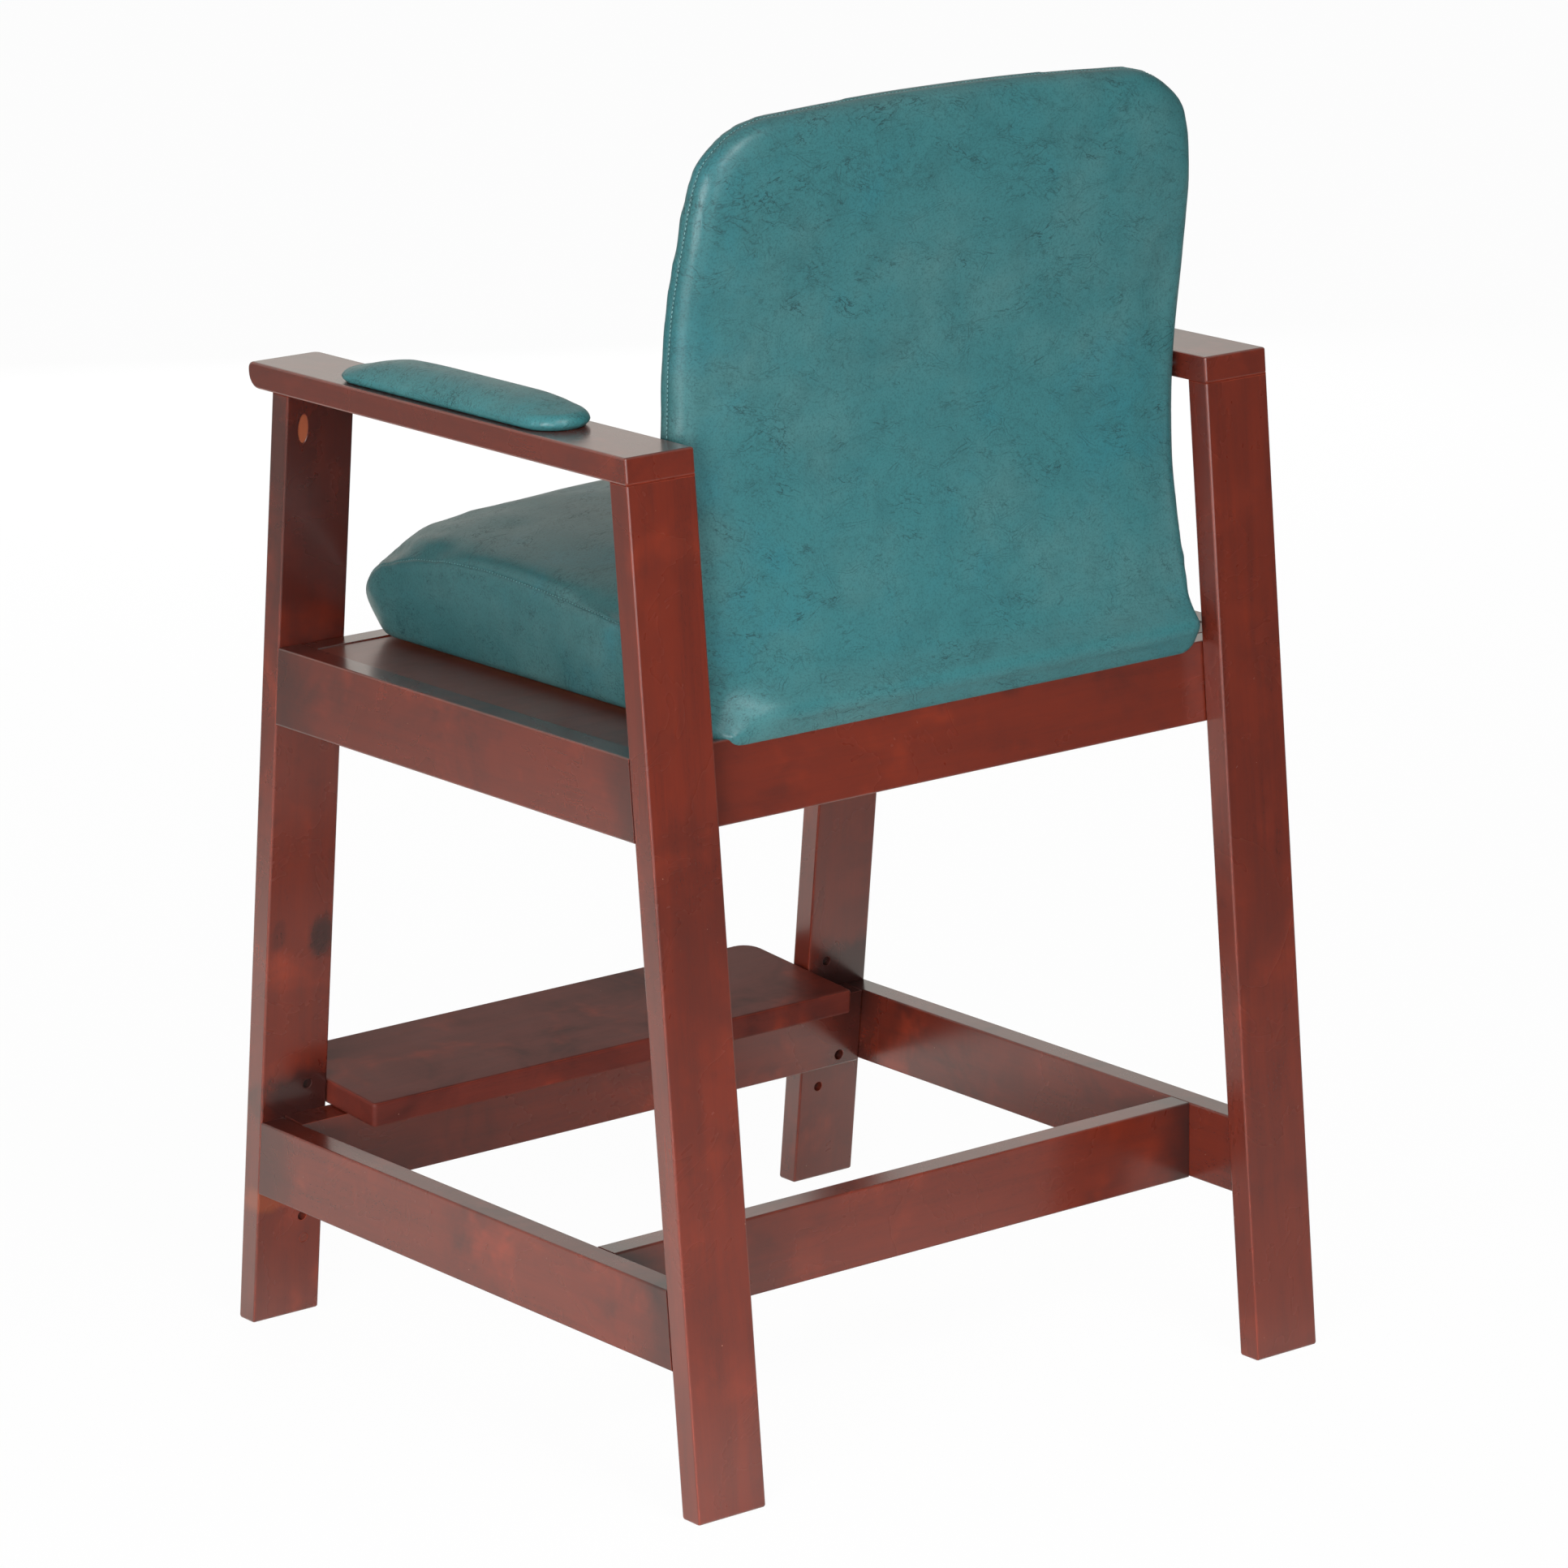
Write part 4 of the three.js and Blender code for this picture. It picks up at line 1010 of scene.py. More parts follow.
    def refine(self) -> None:
        """Adds one subdivision."""
        smooth = self.thing.modifiers.new("fine", "SUBSURF")
        smooth.levels = smooth.render_levels = 1
        self._take(settle(self.thing, self.name))
    def draw_in(self, seam: np.ndarray | None, depth: float = 0.0, width: float = 1.0,
                far: float = 0.05) -> None:
        """Presses a seam into the cover, and notes each point's distance to one side of it.

        Args:
            seam: Rows of places along the seam, or None where the piece shows none.
            depth: How far the seam is pulled in.
            width: How wide the valley is.
            far: The greatest distance that is noted.
        """
        mesh = self.thing.data
        places, out = places_of(mesh), normals_of(mesh)
        away = np.full(len(places), far)
        if seam is not None:
            line = resample(seam, 0.0008)
            tangent = np.gradient(line, axis=0)
            tree = search_tree(line)
            found = [tree.find(place) for place in places]
            nearest = np.array([hit[1] for hit in found])
            away = np.array([hit[2] for hit in found])
            side = np.sign((np.cross(tangent[nearest], out) * (places - line[nearest])).sum(1))
            pull = depth * np.exp(-(away / width) ** 2)
            move_to(mesh, places - out * pull[:, None])
            away = np.clip(away, 0.0, far) * np.where(side == 0, 1, side)
        note = mesh.attributes.new("seam", "FLOAT", "POINT")
        note.data.foreach_set("value", away.astype(np.float32))

    def finish(self, material: Material) -> Object:
        """Smooths and dresses the piece, and says what it is.

        Args:
            material: Its finish.

        Returns:
            The finished piece.
        """
        piece = self.thing
        piece.data.shade_smooth()
        piece.data.materials.clear()
        piece.data.materials.append(material)
        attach(piece, "chair_frame")
        log.info("%s: %d faces", piece.name, len(piece.data.polygons))
        return piece

    def onto(self, points: Iterable[Sequence[float]]) -> np.ndarray:
        """Drops points on the nearest place of the piece's surface.

        Args:
            points: Places near the surface.

        Returns:
            Rows of places on it.
        """
        tree = BVHTree.FromPolygons([v.co for v in self.thing.data.vertices],
                                    [p.vertices for p in self.thing.data.polygons])
        return np.array([tree.find_nearest(Vector(point))[0] for point in points])


    def gripped(self, seam: KDTree, places: np.ndarray, most: float = 1.0) -> np.ndarray:
        """Returns how firmly a seam holds the cover at each place, up to a limit."""
        return np.clip(self.SEAM_GRIP - distances(seam, places) / self.SEAM_REACH, 0, most)


def resample(points: np.ndarray, step: float, closed: bool = False) -> np.ndarray:
    """Spaces points evenly along a line.

    Args:
        points: Rows of places.
        step: The distance wanted.
        closed: Whether the line runs back to its start.

    Returns:
        The new rows.
    """
    if closed:
        points = np.vstack([points, points[:1]])
    run = np.concatenate([[0.0], np.cumsum(np.linalg.norm(np.diff(points, axis=0), axis=1))])
    count = max(2, int(round(run[-1] / step)) + 1)
    wanted = np.linspace(0.0, run[-1], count)
    return np.stack([np.interp(wanted, run, points[:, axis]) for axis in range(3)], axis=1)


def curve_through(points: np.ndarray, steps: int) -> np.ndarray:
    """Runs a smooth closed curve through points.

    Args:
        points: Rows of places.
        steps: How many places to give per stretch.

    Returns:
        The curve's rows.
    """
    after = np.roll(points, -1, axis=0)
    gap = np.linalg.norm(after - points, axis=1)[:, None]
    behind = np.roll(gap, 1, axis=0)
    ahead = (after - points) / gap
    slope = (ahead * behind + np.roll(ahead, 1, axis=0) * gap) / (gap + behind)
    rows = []
    for t in np.arange(steps) / steps:
        start, end, leave, arrive = hermite(t)
        rows.append(start * points + end * after
                    + gap * (leave * slope + arrive * np.roll(slope, -1, axis=0)))
    return np.stack(rows, axis=1).reshape(-1, points.shape[1])


def skin(name: str, rings: Sequence[np.ndarray]) -> Mesh:
    """Closes a stack of rings into a solid mesh.

    Args:
        name: The mesh's name.
        rings: Rings with the same number of rows, from one end to the other.

    Returns:
        The mesh, with a fan over each end.
    """
    count = len(rings[0])
    points = np.vstack([*rings, rings[0].mean(axis=0), rings[-1].mean(axis=0)])
    faces = [(k * count + j, k * count + (j + 1) % count, (k + 1) * count + (j + 1) % count,
              (k + 1) * count + j) for k in range(len(rings) - 1) for j in range(count)]
    last = (len(rings) - 1) * count
    faces += [(len(points) - 2, (j + 1) % count, j) for j in range(count)]
    faces += [(len(points) - 1, last + j, last + (j + 1) % count) for j in range(count)]
    mesh = bpy.data.meshes.new(name)
    mesh.from_pydata(points.tolist(), [], faces)
    shape = bmesh.new()
    shape.from_mesh(mesh)
    bmesh.ops.recalc_face_normals(shape, faces=shape.faces)
    shape.to_mesh(mesh)
    shape.free()
    return mesh


class StitchRun:
    """Geometry Nodes that sew a line of stitches along a path."""

    SIZES = {"Pitch": 0.0036, "Length": 0.0026, "Thick": 0.0005}
    STEP = 0.0016

    def __init__(self) -> None:
        """Builds the tree."""
        self.tree = bpy.data.node_groups.new("stitch_run", "GeometryNodeTree")
        face = self.tree.interface
        self.ids: dict[str, str] = {}
        for name, kind in (("Geometry", "NodeSocketGeometry"),
                           *((size, "NodeSocketFloat") for size in self.SIZES),
                           ("Thread", "NodeSocketMaterial")):
            socket = face.new_socket(name, in_out="INPUT", socket_type=kind)
            if name in self.SIZES:
                socket.default_value = self.SIZES[name]
            self.ids[name] = socket.identifier
        face.new_socket("Geometry", in_out="OUTPUT", socket_type="NodeSocketGeometry")
        bench = Bench(self.tree)
        given = bench.put("NodeGroupInput").outputs
        path = bench.put("GeometryNodeMeshToCurve", Mesh=given["Geometry"]).outputs[0]
        points = bench.put("GeometryNodeCurveToPoints", {"mode": "LENGTH"}, Curve=path,
                           Length=given["Pitch"])
        turned = bench.put("FunctionNodeAlignRotationToVector", {"axis": "Z"},
                           Vector=points.outputs["Tangent"])
        stitch = bench.put("GeometryNodeMeshUVSphere", Segments=6, Rings=4, Radius=0.5)
        wide = bench.times(given["Thick"], 2.0)
        shape = bench.put("ShaderNodeCombineXYZ", X=wide, Y=wide, Z=given["Length"])
        wander = bench.put("FunctionNodeRandomValue", {"data_type": "FLOAT"}, Seed=7)
        wander.inputs[2].default_value, wander.inputs[3].default_value = 0.9, 1.08
        size = bench.vector("SCALE", shape.outputs[0], Scale=wander.outputs[1])
        sewn = bench.put("GeometryNodeInstanceOnPoints", Points=points.outputs["Points"],
                         Instance=stitch.outputs["Mesh"], Rotation=turned.outputs[0], Scale=size)
        real = bench.put("GeometryNodeRealizeInstances", Geometry=sewn.outputs[0])
        rounded = bench.put("GeometryNodeSetShadeSmooth", Geometry=real.outputs[0])
        dressed = bench.put("GeometryNodeSetMaterial", Geometry=rounded.outputs[0],
                            Material=given["Thread"])
        bench.put("NodeGroupOutput", Geometry=dressed.outputs[0])

    def sew(self, name: str, seam: np.ndarray, thread: Material, body: str) -> Object:
        """Sews one run.

        Args:
            name: The piece's name.
            seam: Rows of places that the stitches follow.
            thread: The thread's finish.
            body: The body that it rides on.

        Returns:
            The finished piece.
        """
        points = resample(seam, self.STEP)
        mesh = bpy.data.meshes.new(name)
        mesh.from_pydata(points.tolist(), [(k, k + 1) for k in range(len(points) - 1)], [])
        guide = show(f"{name}_path", mesh)
        run = guide.modifiers.new("stitches", "NODES")
        run.node_group = self.tree
        for key, value in (*self.SIZES.items(), ("Thread", thread)):
            run[self.ids[key]] = value
        piece = show(name, settle(guide, name))
        bpy.data.objects.remove(guide)
        bpy.data.meshes.remove(mesh)
        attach(piece, body)
        log.info("sewed %s: %d faces", name, len(piece.data.polygons))
        return piece


@dataclass
class SeatPad:
    """The seat's thick cushion, with one sewn seam round its upper edge."""

    effects: Effects
    stitches: StitchRun
    foot: float = 0.5893
    height: float = 0.121
    # a darker copy of the back's vinyl: painted shade, for a seat shaded by the back and arms
    vinyl: Tone = (50, 101, 104)
    thread: Tone = (104, 160, 162)
    seam_inset: float = 0.0024
    seam_step: float = 0.006
    seam_sink: float = 0.0004
    seam_width: float = 0.0025
    corner: float = 0.044
    rear_corner: float = 0.012
    seam_shares: Table = (
        (0, 0.34), (0.042, 0.372), (0.075, 0.46), (0.135, 0.565), (0.235, 0.648), (0.32, 0.68),
        (0.465, 0.7), (0.64, 0.672), (0.79, 0.64), (1, 0.6))
    shoulder_rear: float = 0.003
    shoulder_front: float = 0.0105
    shoulder_reach: float = 0.018
    shoulder_start: float = -0.02
    shoulder_run: float = 0.12
    shoulder_fade: float = 0.004
    seam_hold: float = 0.6
    board_hold: float = 0.012
    board_fade: float = 0.008
    stuffing: Stuffing = field(default_factory=lambda: Stuffing(0.006, 0.0012, 0.0022, 0.8))

    def outline(self) -> list[tuple[float, float]]:
        """Lays out the seam's plan, a rectangle with rounded corners.

        Returns:
            Its places in x and y, from the front left corner on.
        """
        low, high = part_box("seat_cushion")
        inset = self.seam_inset
        x0, x1 = low[0] + inset, high[0] - inset
        y0, y1 = low[1] + inset, high[1] - inset
        plan: list[tuple[float, float]] = []
        for x, y, radius, start in ((x1, y0, self.corner, -90), (x1, y1, self.rear_corner, 0),
                                    (x0, y1, self.rear_corner, 90), (x0, y0, self.corner, 180)):
            centre_x = x - math.copysign(radius, x)
            centre_y = y + (radius if y == y0 else -radius)
            for step in range(9):
                angle = math.radians(start + 90 * step / 8)
                plan.append((centre_x + radius * math.cos(angle),
                             centre_y + radius * math.sin(angle)))
        return plan

    def seam(self) -> np.ndarray:
        """Raises the plan to the seam's height, which follows a table from front to rear.

        Returns:
            Rows of places round the cushion.
        """
        low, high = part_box("seat_cushion")
        flat = np.array([(x, y, 0.0) for x, y in self.outline()])
        line = resample(flat, self.seam_step, closed=True)
        share = (line[:, 1] - low[1]) / (high[1] - low[1])
        line[:, 2] = self.foot + self.height * np.interp(share, *np.array(self.seam_shares).T)
        return line

    def raise_shoulder(self, pad: Padding, seam: KDTree) -> None:
        """Fills the top panel out just above the seam, more so toward the front.

        Args:
            pad: The cushion.
            seam: The seam's points.
        """
        places, out = places_of(pad.thing.data), normals_of(pad.thing.data)
        found = [seam.find(place) for place in places]
        level = np.array([hit[0][2] for hit in found])
        above = np.clip((places[:, 2] - level) / self.shoulder_fade, 0, 1)
        ahead = smooth(np.clip((self.shoulder_start - places[:, 1]) / self.shoulder_run, 0, 1))
        most = self.shoulder_rear + (self.shoulder_front - self.shoulder_rear) * ahead
        reach = np.array([hit[2] for hit in found]) / self.shoulder_reach
        lift = pad.spread(most * above * reach * np.exp(1 - reach), 3)
        move_to(pad.thing.data, places + out * lift[:, None])

    def make(self) -> None:
        """Builds the cushion and its stitching."""
        pad = Padding("seat_pad", ["seat_cushion", "seat_cushion_board"], self.stuffing)
        pad.relax(8)
        seam = self.seam()
        tree = search_tree(seam)
        self.raise_shoulder(pad, tree)

        def held(places: np.ndarray) -> np.ndarray:
            """Returns how firmly the seam and the board hold the cover."""
            base = (self.foot + self.board_hold - places[:, 2]) / self.board_fade
            return np.maximum(pad.gripped(tree, places, self.seam_hold), np.clip(base, 0, 1))

        pad.swell(held)
        pad.refine()
        seam = pad.onto(seam)
        pad.draw_in(seam, self.seam_sink, self.seam_width)
        piece = pad.finish(TealVinyl(1, self.vinyl).material("seat_vinyl", self.effects))
        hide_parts("seat_cushion")
        self.stitches.sew("seat_seam_stitches", pad.onto(seam), Thread(self.thread).material(
            "seat_thread", self.effects), "chair_frame")


@dataclass
class BackPad:
    """The back: front padding, a narrow side band and a rear cover that ends in a padded lip."""

    effects: Effects
    stitches: StitchRun
    half: float = 0.2505
    foot: float = 0.5883
    line_foot: float = 0.588
    head: float = 1.062
    tall: float = 0.474
    rear_foot: float = 0.25543
    bow: float = 0.024
    depth: float = 0.043
    band: float = 0.0165
    rim: float = 0.003
    rolled_rim: float = 0.45
    drop: float = 0.001
    line: Table = (
        (0, 0), (0.09, 0.19), (0.2, 0.54), (0.3, 0.87), (0.41, 1), (0.53, 0.88), (0.67, 0.54),
        (0.81, 0.04), (0.92, -0.18), (1, -0.23))
    shape: Table = (
        (0.35, 0), (0.65, 0), (0.9, 0), (0.942, 0.005), (0.974, 0.016), (0.992, 0.031),
        (1, 0.052), (0.997, 0.12), (0.994, 0.25), (0.999, 0.4), (1.004, 0.53), (1.01, 0.627),
        (1.006, 0.724), (0.992, 0.808), (0.982, 0.846), (0.965, 0.89), (0.948, 0.915),
        (0.922, 0.933), (0.885, 0.95), (0.838, 0.967), (0.778, 0.98), (0.6, 0.9905),
        (0.363, 0.997))
    crown: Table = (
        (0.985, 0.08), (0.97, 0.18), (0.94, 0.32), (0.9, 0.44), (0.84, 0.585), (0.78, 0.7),
        (0.68, 0.815), (0.58, 0.9), (0.45, 0.95), (0.32, 0.98), (0.16, 1.0))
    inner_shares: tuple[float, ...] = (0.12, 0.3, 0.45, 0.6, 0.7, 0.78, 0.84, 0.88)
    roll_steps: tuple[float, ...] = (1.0, 0.82, 0.64, 0.48, 0.34, 0.22, 0.12, 0.05, 0.0)
    side_rings: Table = ((0.0085, 0.0), (0.011, 0.0), (0.0135, 0.0003), (0.0165, 0.0009))
    rim_roll: float = 0.018
    rim_rise: float = 0.0145
    rim_low: float = 0.002
    dome: float = 0.002
    dome_run: float = 0.3
    seam_sink: float = 0.006
    seam_below: float = 0.0008
    seam_rim: float = 0.3
    seam_foot: float = 0.6
    seam_step: float = 0.006
    seam_pull: float = 0.0006
    seam_width: float = 0.0025
    thread: Tone = (132, 186, 188)
    roll_start: float = 0.62
    roll_run: float = 0.14
    flare: Table = (
        (0.661, 0.0), (0.649, 0.0002), (0.64, 0.0006), (0.633, 0.0014), (0.623, 0.0052),
        (0.616, 0.0118), (0.610, 0.0174), (0.6045, 0.0206), (0.6025, 0.0204))
    under: Table = (
        (0.598, 0.2712), (0.590, 0.2672), (0.5835, 0.264), (0.579, 0.2612), (0.5775, 0.257),
        (0.5795, 0.253), (0.588, 0.250))
    # the lip's left end: its curve's radius; where it breaks off, turns and starts to curve in;
    # and how it and its lower edge are rounded, each a start and a run
    lip_curve: float = 0.096
    lip_span: tuple[float, float, float] = (0.027, 0.037, 0.085)
    lip_right: float = 0.007
    lip_corner: float = 0.009
    lip_round: tuple[float, float] = (0.5935, 0.014)
    lip_break: tuple[float, float] = (0.005, 0.006)
    lip_low: tuple[float, float] = (0.6, 0.012)
    lip_base: float = 0.598
    lip_lift: float = 0.0004
    lip_sunk: float = 0.006
    lip_inner: float = 0.62
    lip_rows: int = 161
    stuffing: Stuffing = field(default_factory=lambda: Stuffing(0.005, 0.0006, 0.0016, 0.75))

    def rear(self, height: np.ndarray | float) -> np.ndarray:
        """Finds how far back the plain rear face lies.

        Args:
            height: The height or heights.

        Returns:
            The rear face's y at each of them.
        """
        share = np.clip((np.asarray(height) - self.line_foot) / self.tall, 0.0, 1.0)
        knots, values = np.array(self.line).T
        slope = np.gradient(values, knots)
        at = np.clip(np.searchsorted(knots, share, "right") - 1, 0, len(knots) - 2)
        step = knots[at + 1] - knots[at]
        start, end, leave, arrive = hermite((share - knots[at]) / step)
        return self.rear_foot - self.bow * (
            start * values[at] + leave * step * slope[at] + end * values[at + 1]
            + arrive * step * slope[at + 1])

    def outline(self) -> np.ndarray:
        """Runs a smooth curve through the table of the back's outline.

        Returns:
            Rows of shares of its half width and of its height.
        """
        right = np.array(self.shape)
        left = right[::-1] * (-1, 1)
        return curve_through(np.vstack([right, [(0.0, 1.0)], left]), 8)

    def ring(self, share: float, deep: float, inset: float) -> np.ndarray:
        """Draws the outline in.

        Args:
            share: The share of its size that is left.
            deep: Its depth in front of the rear face.
            inset: How far it is set in besides.

        Returns:
            Rows of places.
        """
        outline = self.outline()
        middle = (self.foot + self.head) / 2
        x = outline[:, 0] * (self.half - inset)
        z = self.foot + inset + outline[:, 1] * (self.head - self.foot - 2 * inset)
        drop = self.drop * within(deep / self.band) * ((z - self.foot) / self.tall) ** 4
        height = middle + (z - drop - middle) * share
        return np.stack([x * share * (1 - drop / (2 * self.half)),
                         self.rear(height) - deep, height], axis=1)

    def body(self) -> Mesh:
        """Builds the padding, with its rear face rolled down to the seam.

        Returns:
            The closed mesh.
        """
        rows = [(share, 1.0) for share in self.inner_shares]
        rows += [(1 - away * self.rim_roll / self.half, math.sqrt(max(0.0, 1 - (1 - away) ** 2)))
                 for away in self.roll_steps]
        rings = []
        for share, rolled in rows:
            ring = self.ring(share, 0.0, self.rim * (self.rolled_rim if rolled < 1 else 1.0))
            up = smooth(np.clip((ring[:, 2] - self.roll_start) / self.roll_run, 0, 1))
            most = self.rim_low + (self.rim_rise - self.rim_low) * up
            inner = min(1.0, (1 - share) / self.dome_run)
            ring[:, 1] += most * rolled - self.seam_sink * up + self.dome * up * inner
            rings.append(ring)
        rings += [self.ring(1, deep, inset) for deep, inset in self.side_rings]
        rings += [self.ring(share, self.band + (self.depth - self.band) * rise, self.rim)
                  for share, rise in self.crown]
        return skin("back_body", rings)

    def lip_share(self, x: float, z: float) -> float:
        """Returns how much of the lip's flare is left toward its ends, from 0 to 1.

        Args:
            x: The place along the lip, from -1 at the right end to 1 at the left.
            z: The height.

        Returns:
            The share. The left end curves in and breaks off at a corner.
        """
        side = self.half * (1 - abs(x))
        if x <= 0:
            return min(1.0, side / self.lip_right)
        edge, corner, level = self.lip_span
        most = max(out for _, out in self.flare)
        bend = max(0.0, level - max(side, corner))
        curved = 1 - (self.lip_curve - math.sqrt(self.lip_curve ** 2 - bend ** 2)) / most
        curved *= within((side - edge) / (corner - edge))
        sharp = within((side - edge + self.lip_break[0]) / self.lip_break[1])
        low = within((self.lip_low[0] - z) / self.lip_low[1])
        return curved + (sharp - curved) * low

    def lip(self) -> Mesh:
        """Builds the padded lip that flares from the foot of the rear face.

        Returns:
            The closed mesh.
        """
        rings = []
        base = float(self.rear(self.lip_base))
        for x in np.linspace(-1.0, 1.0, self.lip_rows):
            ring = [(float(self.rear(z)) + out * self.lip_share(x, z) + self.lip_lift, z)
                    for z, out in self.flare]
            ring += [(min(y, base + (y - base) * self.lip_share(x, z)), z)
                     for z, y in self.under]
            ring += [(float(self.rear(z)) - self.lip_sunk, z)
                     for z in (self.lip_inner, self.flare[0][0])]
            row = []
            for y, z in ring:
                low = within((self.lip_round[0] - z) / self.lip_round[1])
                wide = self.half - self.lip_corner * (1 - math.sqrt(1 - low ** 2))
                row.append((x * wide, y, z))
            rings.append(np.array(row))
        return skin("back_lip", rings)

    def seam(self) -> np.ndarray:
        """Finds the seam between the rear cover and the side band, from low left round.

        Returns:
            Rows of places.
        """
        ring = self.ring(1.0, self.seam_sink + self.seam_below, self.rim * self.seam_rim)
        return ring[ring[:, 2] > self.seam_foot]

    def make(self) -> None:
        """Builds the padded back and its stitching."""
        pad = Padding("back_pad", [self.body(), self.lip()], self.stuffing)
        pad.relax(2)
        guide = pad.onto(resample(self.seam(), self.seam_step))
        tree = search_tree(guide)
        pad.swell(lambda places: pad.gripped(tree, places))
        pad.refine()
        seam = pad.onto(guide)
        pad.draw_in(seam, self.seam_pull, self.seam_width)
        piece = pad.finish(TealVinyl(2).material("back_vinyl", self.effects))
        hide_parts("back_cushion", "back_rear_cover")
        self.stitches.sew("back_seam_stitches", pad.onto(seam), Thread(self.thread).material(
            "back_thread", self.effects), "chair_frame")


@dataclass
class ArmPads:
    """The two slim pads on the armrests."""

    effects: Effects
    stuffing: Stuffing = field(default_factory=lambda: Stuffing(0.0035, 0.0, 0.001, 0.9))
    # a lighter copy of the back's vinyl: painted light, for the pads' well-lit tops
    vinyl: Tone = (60, 130, 134)
    lap: float = 0.0008
    sink: float = 0.0002
    board_hold: float = 0.004
    board_fade: float = 0.003

    def make(self) -> None:
        """Builds both pads."""
        for side, seed in (("left", 3), ("right", 4)):
            node = f"arm_pad_{side}"
            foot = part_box(f"arm_pad_board_{side}")[0][2]
            pad = Padding(f"{node}_cover", [node, f"arm_pad_board_{side}"], self.stuffing)
            pad.relax(2)
            places = places_of(pad.thing.data)
            places += normals_of(pad.thing.data) * self.lap
            places[:, 2] = np.maximum(places[:, 2], foot - self.sink)
            move_to(pad.thing.data, places)
            pad.swell(lambda rows, top=foot + self.board_hold: np.clip(
                (top - rows[:, 2]) / self.board_fade, 0, 1))
            pad.refine()
            pad.draw_in(None)
            piece = pad.finish(TealVinyl(seed, self.vinyl).material(f"{node}_vinyl", self.effects))
            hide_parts(node)


@dataclass
class WoodenFrame:
    """The boards, battens, plugs and plywood, each in its own cut of the finish."""

    effects: Effects
    front_lean: float = 6.83
    rear_lean: float = -4.8
    plywood: tuple[str, ...] = (
        "seat_cleat_front", "seat_cleat_rear", "seat_cleat_left", "seat_cleat_right",
        "seat_cushion_board", "back_board", "arm_pad_board_left", "arm_pad_board_right")
    plugs: tuple[str, ...] = ("pocket_plug_left", "pocket_plug_right")

    def finishes(self) -> dict[str, Look]:
        """Chooses the finish of each wooden node.

        Returns:
            The finishes by node.
        """
        front, rear, spot = self.front_lean, self.rear_lean, StainAndPaintedLightPatch
        down, across, back = Along.HEIGHT, Along.WIDTH, Along.DEPTH
        boards = {
            # front left leg: the big dark patch high on its rear face is darker stain with painted
            # shade of the cushion and back; the orange patch near the foot is a painted glow
            "front_leg_left": StainedWood(down, 1, lean=front, cloud=0.6, stain_and_painted_light_patches=(
                spot((0.285, -0.185, 0.715), (0.09, 0.06, 0.17), 0.55),
                spot((0.306, -0.233, 0.343), (0.009, 0.02, 0.018), 0.3),
                spot((0.2655, -0.234, 0.336), (0.018, 0.02, 0.024), 0.8),
                spot((0.272, -0.250, 0.192), (0.06, 0.04, 0.04), 0.85),
                spot((0.308, -0.262, 0.108), (0.02, 0.03, 0.014), 0.5, (150, 66, 26)))),
            "front_leg_right": StainedWood(down, 2, lean=front, stain_and_painted_light_patches=(
                spot((-0.293, -0.251, 0.185), (0.06, 0.04, 0.045), 0.8),)),
            "rear_leg_left": StainedWood(down, 3, lean=rear, cloud=0.3, streak=0.6, stain_and_painted_light_patches=(
                spot((0.285, 0.32, 0.46), (0.08, 0.05, 0.2), 0.25),)),
            "rear_leg_right": StainedWood(down, 4, lean=rear, cloud=0.3, streak=0.6, stain_and_painted_light_patches=(
                spot((-0.285, 0.32, 0.46), (0.08, 0.05, 0.2), 0.2),)),
            "front_leg_hole_plug": StainedWood(down, 5, cloud=0.8, streak=0.9),
            "seat_side_rail_left": StainedWood(back, 6, cloud=0.6, ends=(-0.2, 0.27)),
            "seat_side_rail_right": StainedWood(back, 7, cloud=0.6, ends=(-0.2, 0.27)),
            "side_stretcher_left": StainedWood(back, 8, cloud=0.7, ends=(-0.25, 0.29), shine=0.65),
            "side_stretcher_right": StainedWood(back, 9, cloud=0.8, ends=(-0.25, 0.29),
                                                end_darkening=0.85),
            "seat_front_rail": StainedWood(across, 10, ends=(-0.29, 0.29)),
            # the apron's patch along its top edge is painted shadow under the back's lip, over
            # darker stain
            "seat_rear_apron": StainedWood(across, 11, ends=(-0.295, 0.295), end_darkening=0.35, stain_and_painted_light_patches=(
                spot((-0.05, 0.285, 0.592), (0.24, 0.03, 0.022), 0.6),)),
            "cross_stretcher": StainedWood(across, 12, ends=(-0.3, 0.3), end_darkening=0.7),
            "armrest_left": StainedWood(back, 13),
            "armrest_right": StainedWood(back, 14),
            "footrest_rail": StainedWood(across, 15, cloud=0.7, ends=(-0.295, 0.295)),
            "footrest_tread": StainedWood(across, 16, cloud=0.7, tone=(104, 44, 35), rough=0.36,
                                          shine=0.0),
            # a lighter cut of the stain: painted light, for a board that sits in shade here
            "seat_board": StainedWood(across, 17, tone=(140, 70, 56), rough=0.25, shine=0.6),
        }
        return {**boards, **{node: Plywood(seed) for seed, node in enumerate(self.plywood, 1)},
                **{node: BareWood(seed) for seed, node in enumerate(self.plugs, 1)}}

    def dress(self) -> None:
        """Gives each node its own material."""
        for node, finish in self.finishes().items():
            wear(node, finish.material(node, self.effects))
            log.info("finished %s", node)


